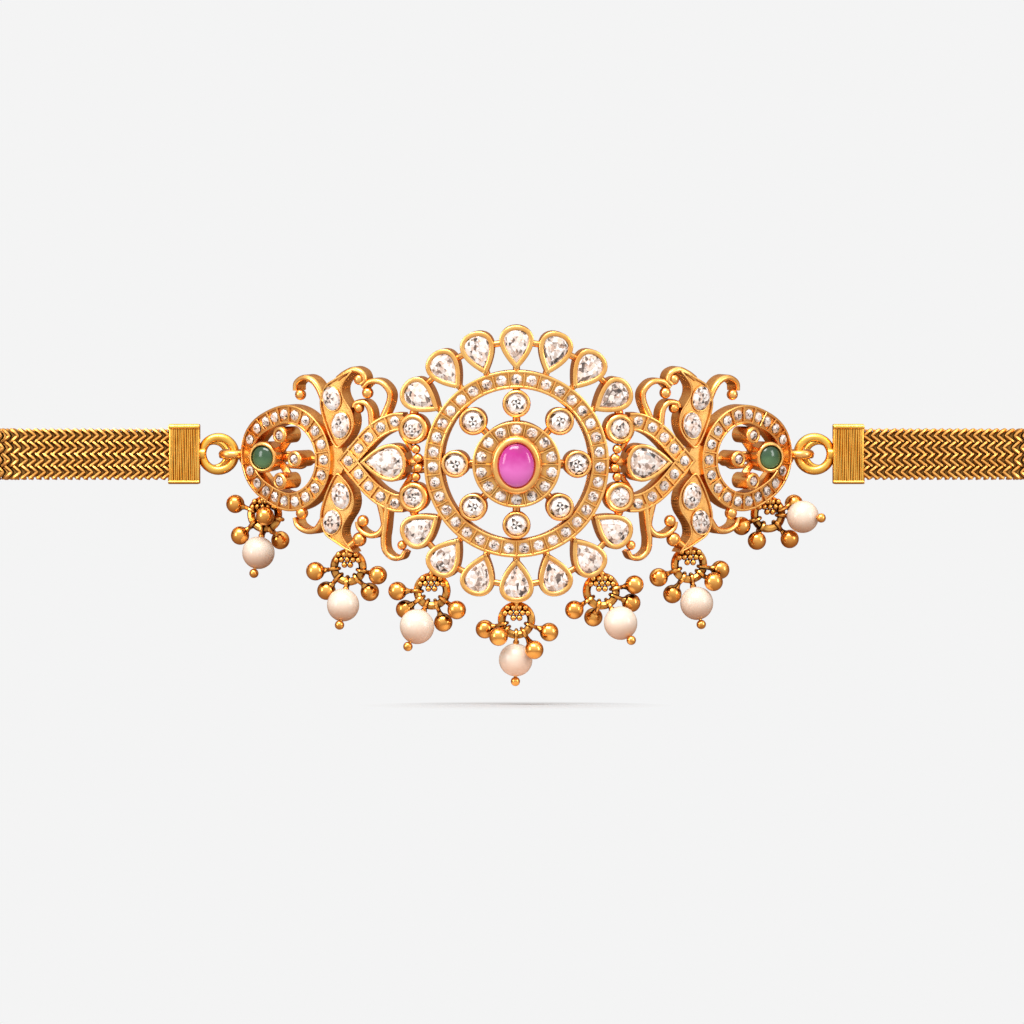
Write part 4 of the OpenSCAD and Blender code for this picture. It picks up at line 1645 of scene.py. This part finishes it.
@dataclass
class BandEnd:
    """The bail and tab of the ornament's end, and the caps and rings of the band."""

    tools: Jeweller
    side: Side
    hinge_y: float = -6.5
    bail_x: float = 36.1
    bail_radius: float = 1.3
    bail_wire: float = 0.54
    front_x: float = 40.3
    back_x: float = 41.0
    size: Sequence[float] = (3.9, 3.4, 7.6)
    ridges: int = 12
    sway: float = 0.04
    rolls: Sequence[Flat] = ((3.44, 0.34), (-3.58, 0.2))

    def bail(self) -> None:
        """Adds the bail at the eye's point, with the tab that holds it."""
        work = Work()
        middle = Vector((self.bail_x, self.hinge_y, 0))
        work.wire(circle_line(middle, self.bail_radius, ACROSS, AWAY, 32), self.bail_wire, 10, True)
        work.box((self.bail_x - 1.45, self.hinge_y - 0.3, 0), (0.9, 2.0, 1.2), 0.2)
        self.tools.frame_gold(f"end_bail_{self.side.label}", work.face(self.side), ARM.lean_back)

    def cap_face(self, work: Work, x: float, y: float, face: int) -> None:
        """Adds the ridges of a cap's face and the rolls at its upper and lower edge.

        Args:
            work: The cap's gold.
            x: Where its closed side stands.
            y: The band's depth.
            face: Which way the face looks along the depth, 1 or -1.
        """
        deep, thick, high = self.size
        pitch = (deep - 0.6) / self.ridges
        out = y + face * (thick / 2 - 0.16)
        for i in range(self.ridges):
            at = x + 0.3 + (i + 0.5) * pitch
            line = [
                Vector((at + self.sway * math.sin(1.7 * i + k), out, -high / 2 + 0.3 + k * (high - 1.0) / 5))
                for k in range(6)
            ]
            work.wire(line, pitch * 0.47, 7)
        for z, radius in self.rolls:
            out = y + face * (thick / 2 - radius)
            work.wire([Vector((end, out, z)) for end in (x + 0.05, x + deep - 0.05)], radius, 10)

    def cap(self, x: float, y: float, radius: float, wire: float, node: str) -> None:
        """Adds a ridged box cap with its ring.

        Args:
            x: Where its closed side stands.
            y: The band's depth.
            radius: The ring's radius.
            wire: Half the ring's wire.
            node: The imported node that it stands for.
        """
        deep, thick, high = self.size
        work = Work().box((x + deep / 2, y, 0), (deep, thick - 0.5, high), 0.16)
        for face in (-1, 1):
            self.cap_face(work, x, y, face)
        middle = Vector((x - radius - 0.25, y, 0))
        work.wire(circle_line(middle, radius, ACROSS, UP, 40), wire, 12, True)
        work.rod((x - 0.6, y), (x + 0.2, y), 0.0, 0.85, 12)
        finish = self.tools.finishes.cap
        Piece(f"{node}_piece", work.face(self.side), finish, Slot.GOLD, [node], as_it_is).make()

    def make(self) -> None:
        """Builds the end's pieces."""
        self.bail()
        self.cap(self.front_x, self.hinge_y, 2.1, 0.58, f"front_cap_{self.side.label}")
        self.cap(self.back_x, -self.hinge_y, 1.7, 0.42, f"back_cap_{self.side.label}")


@dataclass
class WovenBand:
    """A foxtail band: columns of slanted wire loops that point to its cap, on both faces."""

    tools: Jeweller
    side: Side
    height: float = 6.2
    thick: float = 2.0
    columns: int = 4
    pitch: float = 1.0
    leg_size: Sequence[float] = (1.5, 0.24, 0.24)
    slant: float = math.radians(38)
    tuck: float = -0.12
    play: float = 0.03
    start_x: float = 43.0
    end_x: float = 43.6
    turn_x: float = 62.5
    turn_radius: float = 6.5

    @property
    def length(self) -> float:
        """The band's length along its middle."""
        return 2 * self.turn_x - self.start_x - self.end_x + math.pi * self.turn_radius

    def station(self, along: float) -> Matrix:
        """A place on the band's middle line.

        Args:
            along: How far it lies from the front cap's mouth.

        Returns:
            A matrix: its first axis runs along the band, its second out of its face, its third up.
        """
        straight = self.turn_x - self.start_x
        bend = math.pi * self.turn_radius
        if along <= straight:
            at, way = Vector((self.start_x + along, -self.turn_radius, 0)), ACROSS
        elif along < straight + bend:
            turn = (along - straight) / self.turn_radius - math.pi / 2
            out = Vector((math.cos(turn), math.sin(turn), 0))
            at, way = Vector((self.turn_x, 0, 0)) + out * self.turn_radius, Vector((-out.y, out.x, 0))
        else:
            at = Vector((self.turn_x - (along - straight - bend), self.turn_radius, 0))
            way = -ACROSS
        out = Vector((way.y, -way.x, 0))
        return Matrix.Translation(at) @ Matrix((way, out, UP)).transposed().to_4x4()

    def leg(self) -> bpy.types.Mesh:
        """Shapes half a loop, a slender rod with six sides that lies along its first axis.

        Returns:
            The rod's mesh.
        """
        line = [Vector((x, 0, 0)) for x in (-0.5, -0.3, 0.3, 0.5)]
        stations = wire_stations(line, widths=(0.45, 1.0, 1.0, 0.45))
        return Work().loft(round_section(1.0, 6), stations).shape("band_leg")

    def loop(self, work: Work, leg: bpy.types.Mesh, where: Matrix, up: float) -> None:
        """Adds a loop on each face, two legs that meet in a point.

        Args:
            work: The band's gold.
            leg: Half a loop.
            where: Its place on the band's middle line.
            up: The height of its column.
        """
        size = Matrix.Diagonal((*self.leg_size, 1))
        rise = self.height / self.columns * 0.27
        for face in (1, -1):
            tuck = Matrix.Rotation(face * self.tuck, 4, "Z")
            for half in (1, -1):
                at = Matrix.Translation((0, face * (self.thick / 2 - 0.3), up + half * rise))
                lie = at @ Matrix.Rotation(-half * self.slant, 4, "Y") @ tuck
                lean = Matrix.Rotation(self.tools.dice.uniform(-self.play, self.play), 4, "Y")
                work.stamp(leg, where @ lie @ lean @ size)

    def make(self) -> None:
        """Builds the band's loops and the core that they hide, which the woven gold darkens with painted
        shade.
        """
        work, leg = Work(), self.leg()
        column = self.height / self.columns
        for i in range(int(self.length / self.pitch)):
            for k in range(self.columns):
                where = self.station((i + 0.5 + 0.25 * (k % 2)) * self.pitch)
                self.loop(work, leg, where, (k + 0.5) * column - self.height / 2)
        turn = Matrix(((0, 0, 1, 0), (1, 0, 0, 0), (0, 1, 0, 0), (0, 0, 0, 1)))
        steps = [self.station(self.length * s / 48) @ turn for s in range(49)]
        half, core = self.height / 2 - 0.25, self.thick / 2 - 0.42
        work.loft([(core, -half), (core, half), (-core, half), (-core, -half)], steps)
        node, finish = f"woven_band_{self.side.label}", self.tools.finishes.woven
        Piece(f"{node}_piece", work.face(self.side), finish, Slot.WOVEN, [node], as_it_is).make()


@dataclass
class Closing:
    """The fine chains behind the arm and the plain hook that joins them."""

    tools: Jeweller
    y: float = 6.5
    sag: float = 1.4
    cap_x: float = 41.0
    links: int = 12
    first_x: float = 36.47
    pitch: float = 2.6
    half: float = 0.8
    radius: float = 0.85
    wire: float = 0.3
    hook_x: float = 5.69
    hook_radius: float = 1.3
    hook_wire: float = 0.42

    def chain(self, side: Side) -> None:
        """Adds one chain.

        Args:
            side: The side that it hangs from.
        """
        work = Work()
        circle = ring_points(18, self.radius, from_turn=10.0)
        oval = [p + ACROSS * math.copysign(self.half, p.x) for p in circle]
        link = Work().wire(oval, self.wire, 7, True).shape("link")
        for i in range(self.links):
            x = self.first_x - i * self.pitch
            fall = self.sag * (1 - (x / self.cap_x) ** 2)
            slope = math.atan(2 * self.sag * x / self.cap_x**2)
            turn = Matrix.Rotation(-slope, 4, "Y") @ Matrix.Rotation(math.radians(90 * (i % 2)), 4, "X")
            work.stamp(link, Matrix.Translation((x, self.y, -fall)) @ turn)
        node = f"closing_chain_{side.label}"
        Piece(f"{node}_piece", work.face(side), self.tools.finishes.gold, Slot.GOLD, [node], as_it_is).make()

    def hook(self) -> None:
        """Adds the hook: a straight shank with an open bow at each end."""
        work = Work()
        turns = [math.radians(120 + 300 * k / 28) for k in range(29)]
        for side in (1, -1):
            arc = [(self.hook_radius * math.cos(t), self.hook_radius * math.sin(t)) for t in turns]
            bow = [Vector((side * (self.hook_x + x), self.y + y, -self.sag)) for x, y in arc]
            work.wire(bow, self.hook_wire, 10)
        reach = self.hook_x - self.hook_radius
        work.rod((-reach, self.y), (reach, self.y), -self.sag, self.hook_wire, 10)
        Piece("hook", work, self.tools.finishes.gold, Slot.GOLD, ["clasp_hook"], as_it_is).make()

    def make(self) -> None:
        """Builds both chains and the hook."""
        for side in Side:
            self.chain(side)
        self.hook()


@dataclass(frozen=True)
class Hanging:
    """Where a drop hangs, and how its four balls and its pearl lie.

    A ball has where it hangs round the ring, its lean towards the viewer, both in degrees, and its
    reach. The pearl has its radius instead of a reach.
    """

    at: Flat
    turn: float
    pearl: Sequence[float]
    balls: Sequence[Sequence[float]]


DROPS = (
    Hanging(
        (-36.8, -5.62), -20, (-97, 14, 2.1),
        ((162, 0, 2.4), (-140, 10, 2.4), (-16, 112, 2.4), (-66, -43, 2.4)),
    ),
    Hanging(
        (-22.7, -11.65), -12, (-95, 22, 2.08),
        ((-173, 16, 2.4), (-135, -12, 2.4), (-51, -26, 2.4), (-14, 20, 2.4)),
    ),
    Hanging(
        (-11, -14.3), -6, (-112, 20, 2.2),
        ((180, 0, 2.5), (-147, -25, 2.6), (-71, -15, 2.4), (-36, 26, 2.4)),
    ),
    Hanging(
        (0, -17.85), 0, (-91, -8, 2.12),
        ((-164, -20, 2.4), (-138, 61, 2.4), (-59, 38, 3.1), (-20, 0, 2.5)),
    ),
    Hanging(
        (11.05, -14.3), 7, (-61, 29, 2.12),
        ((-146, 12, 2.4), (-103, -50, 2.4), (-21, -16, 2.4), (11, 12, 2.4)),
    ),
    Hanging(
        (23.4, -11.36), 12, (-80, 10, 2.1),
        ((-158, 0, 2.4), (-118, -20, 2.5), (-38, 47, 2.4), (-9, -12, 2.4)),
    ),
    Hanging(
        (36.8, -5.62), 20, (-5, 52, 2.05),
        ((-159, 16, 2.4), (-121, 31, 2.4), (-50, 20, 2.4), (19, -20, 2.4)),
    ),
)


@dataclass
class Drop:
    """A granulated ring that carries four gold balls and a pearl."""

    tools: Jeweller
    number: int
    hang: Hanging
    ring: float = 1.85
    ring_wire: float = 0.52
    loop: float = 0.7
    loop_wire: float = 0.24
    loop_shift: float = 0.05
    ball: float = 1.18
    ball_flare: Flat = (0.24, 0.7)
    pearl_reach: float = 3.15
    pearl_pin: Flat = (0.2, 0.2)
    bead: float = 0.6
    collar: float = 0.42
    grain: float = 0.39
    grain_out: float = -0.58
    grains: Sequence[Flat] = (
        (0, 0.95), (0.75, 0.95), (0.38, 1.6), (0.38, 0.3), (1.12, 1.6), (0, 2.2), (1.42, 0.9),
    )
    eyelet: float = 0.75
    eyelet_wire: float = 0.24

    def place(self) -> Matrix:
        """Where the ring's middle is, turned with the ornament's round.

        Returns:
            The ring's place.
        """
        hook = ARM.point(*self.hang.at, -1.2)
        turn = Matrix.Rotation(math.radians(self.hang.turn), 4, "Z")
        return Matrix.Translation(hook - UP * self.ring) @ turn

    def from_ring(self, around: float, out: float) -> Matrix:
        """The place of a pin on the ring's wire, whose first axis runs along the pin.

        Args:
            around: Where on the ring it hangs, in degrees.
            out: How far it leans towards the viewer, in degrees.

        Returns:
            The matrix.
        """
        on_ring = Matrix.Rotation(math.radians(-around), 4, "Y") @ Matrix.Translation((self.ring, 0, 0))
        return on_ring @ Matrix.Rotation(math.radians(-out), 4, "Z")

    def pin(self, work: Work, around: float, out: float, reach: float, widths: Flat) -> Matrix:
        """Adds a pin's loop and shank.

        Args:
            work: The drop's gold.
            around: Where on the ring it hangs.
            out: How far it leans.
            reach: How long the shank is, from the ring's wire.
            widths: The shank's radius at its start and its end.

        Returns:
            The pin's place.
        """
        where = self.from_ring(around, out)
        turned = where.to_3x3()
        middle = where @ (ACROSS * self.loop_shift)
        circle = circle_line(middle, self.loop, turned @ ACROSS, turned @ AWAY, 18)
        work.wire(circle, self.loop_wire, 7, True)
        start = self.loop + self.loop_shift
        line = [where @ Vector((start + (reach - start) * k / 3, 0, 0)) for k in range(4)]
        flare = [widths[0] + (widths[1] - widths[0]) * (k / 3) ** 1.6 for k in range(4)]
        work.loft(round_section(1.0, 10), wire_stations(line, widths=flare))
        work.ball(where @ Vector((start, 0, 0)), 0.3, 10)
        return where

    def make(self) -> None:
        """Builds the drop's gold and its pearl."""
        work = Work()
        work.wire(circle_line(Vector(), self.ring, ACROSS, UP, 32), self.ring_wire, 9, True)
        for x, z in self.grains:
            for side in (1, -1) if x else (1,):
                work.ball((side * x, self.grain_out, z), self.grain, 12)
        for around, out, reach in self.hang.balls:
            where = self.pin(work, around, out, reach - 0.75, self.ball_flare)
            work.ball(where @ Vector((reach, 0, 0)), self.ball, 24)
        around, out, radius = self.hang.pearl
        end = self.pearl_reach + radius + self.bead + 0.03
        where = self.pin(work, around, out, end, self.pearl_pin)
        work.ball(where @ Vector((end, 0, 0)), self.bead, 14)
        work.ball(where @ Vector((self.pearl_reach - radius - 0.1, 0, 0)), self.collar, 10)
        work.wire(circle_line(UP * self.ring, self.eyelet, AWAY, UP, 20), self.eyelet_wire, 8, True)
        work.move(self.place())
        node, finish = f"drop_gold_{self.number}", self.tools.finishes.antique
        Piece(f"{node}_piece", work, finish, Slot.ANTIQUE, [node, "ornament_frame"], as_it_is).make()
        self.pearl(self.place() @ where @ Matrix.Translation((self.pearl_reach, 0, 0)), radius)

    def pearl(self, where: Matrix, radius: float) -> None:
        """Threads the pearl, a ball that is a little uneven.

        Args:
            where: The pearl's place.
            radius: Its radius.
        """
        work = Work()
        bmesh.ops.create_icosphere(work.bm, subdivisions=5, radius=radius)
        dice = random.Random(40 + self.number)
        lumps = [
            (Vector([dice.gauss(0, 1) for _ in range(3)]).normalized(), dice.uniform(-0.035, 0.01))
            for _ in range(5)
        ]
        for vert in work.bm.verts:
            way = vert.co.normalized()
            vert.co *= 1 + sum(size * max(0.0, way.dot(lump)) ** 3 for lump, size in lumps)
        work.move(where)
        node, finish = f"pearl_{self.number}", self.tools.finishes.pearl
        Piece(f"{node}_bead", work, finish, Slot.PEARL, [node], as_it_is).make()


@dataclass
class Studio:
    """The pale surroundings, the lights and the camera.

    The paper sends out more light from above, from the viewer's side and at the horizon than from
    behind and below, and is evenly pale where the camera sees it, but for a patch by the drops that
    takes their shadow.
    """

    floor_z: float = -31.6
    plane_y: float = -24.5
    floor_radius: float = 900.0
    bend_radius: float = 900.0
    wall: float = 2600.0
    away: float = 950.0
    frame_width: float = 128.0
    middle: Flat = (-0.56, -7.4)
    seen: float = 0.905
    seen_near: float = 0.06
    near: Flat = (0.006, 0.02)
    paper: Colour = (0.4, 0.405, 0.41)
    level: float = 0.95
    above: float = 1.6
    front: float = 0.86
    behind: float = 0.28
    beneath: float = 0.45
    warm: Colour = (1.0, 0.42, 0.16)

    def pale_paper(self) -> bpy.types.Material:
        """Builds the paper's finish.

        Returns:
            The material.
        """
        nodes = Nodes("pale_paper")
        way = nodes.parts(nodes.measure("NORMALIZE", "Vector"))
        climb = nodes.spread(way["Z"], self.level, self.above, 0.0, 0.6)
        facing = nodes.spread(way["Y"], self.front, self.behind, -0.6, 0.5)
        sunk = nodes.spread(way["Z"], self.beneath, 1.0, -0.9, -0.25)
        sent = nodes.join("MULTIPLY", nodes.join("MULTIPLY", climb, facing), sunk)
        under = Vector((0.0, self.plane_y, self.floor_z)) * MM
        near = nodes.spread(nodes.measure("DISTANCE", "Value", under), 1.0, 0.0, *self.near)
        seen = nodes.add("ShaderNodeLightPath").outputs["Is Camera Ray"]
        glow = nodes.blend(seen, sent, nodes.spread(near, self.seen, self.seen_near))
        tint = nodes.mix(nodes.spread(sent, 0.0, 1.0, 0.1, 0.8), self.warm, WHITE)
        nodes.link(glow, nodes.shader.inputs["Emission Strength"])
        nodes.link(nodes.mix(seen, tint, WHITE), nodes.shader.inputs["Emission Color"])
        nodes.link(nodes.mix(near, (0.0, 0.0, 0.0), self.paper), nodes.base)
        nodes.set(Roughness=0.95, Specular_IOR_Level=0.0)
        return nodes.material

    def surroundings(self) -> None:
        """Makes a round floor that rises into a far wall on all sides."""
        floor, flat, bend = self.floor_z, self.floor_radius, self.bend_radius
        turns = [math.radians(90 * k / 10) for k in range(1, 11)]
        rise = [(flat + bend * math.sin(t), floor + bend * (1 - math.cos(t))) for t in turns]
        profile = [(0.0, floor), (flat, floor), *rise, (flat + bend, floor + self.wall)]
        mesh = Work().turned(profile, 64).shape("surroundings")
        mesh.transform(Matrix.Scale(MM, 4))
        mesh.shade_smooth()
        mesh.materials.append(self.pale_paper())
        stage = bpy.data.objects.new("surroundings", mesh)
        bpy.context.scene.collection.objects.link(stage)

    def lamp(self, name: str, at: Sequence[float], size: Flat, power: float) -> None:
        """Adds a white soft box that looks at the armlet.

        Args:
            name: The light's name.
            at: Where it stands, in metres.
            size: Its width and height, in metres.
            power: Its power, in watts.
        """
        light = bpy.data.lights.new(name, "AREA")
        light.shape = "RECTANGLE"
        light.size, light.size_y = size
        light.energy = power
        lamp = bpy.data.objects.new(name, light)
        lamp.location = at
        lamp.rotation_euler = (-Vector(at)).to_track_quat("-Z", "Y").to_euler()
        bpy.context.scene.collection.objects.link(lamp)

    def camera(self) -> None:
        """Sets the camera level in front of the medallion."""
        data = bpy.data.cameras.new("camera")
        data.lens = data.sensor_width * self.away / self.frame_width
        data.clip_end = 20.0
        camera = bpy.data.objects.new("camera", data)
        camera.location = Vector((self.middle[0], self.plane_y - self.away, self.middle[1])) * MM
        camera.rotation_euler = (math.radians(90), 0, 0)
        bpy.context.scene.collection.objects.link(camera)
        bpy.context.scene.camera = camera

    def sky(self) -> None:
        """Sets an even white sky and plain colours."""
        world = bpy.data.worlds.new("soft_sky")
        world.use_nodes = True
        background = world.node_tree.nodes["Background"].inputs
        background["Color"].default_value = (*WHITE, 1.0)
        background["Strength"].default_value = self.above
        bpy.context.scene.world = world
        bpy.context.scene.view_settings.view_transform = "Standard"

    def make(self) -> None:
        """Builds the studio."""
        self.surroundings()
        self.lamp("top_box", (-0.15, -0.45, 0.7), (0.6, 0.35), 7.5)
        self.lamp("left_box", (-0.8, -0.55, 0.2), (0.25, 0.5), 2.4)
        self.lamp("right_box", (0.8, -0.5, 0.25), (0.2, 0.5), 2.0)
        self.sky()
        self.camera()


def main() -> None:
    """Builds every piece in order and reports it."""
    logging.basicConfig(level=logging.INFO, format="%(message)s")
    Studio().make()
    tools = Jeweller(Finishes(), Stones())
    Medallion(tools).make()
    Crown(tools).make()
    for side in Side:
        Wing(tools, side).make()
        EndEye(tools, side).make()
        BandEnd(tools, side).make()
        WovenBand(tools, side).make()
    Closing(tools).make()
    for number, hang in enumerate(DROPS, 1):
        Drop(tools, number, hang).make()


if __name__ == "__main__":
    main()
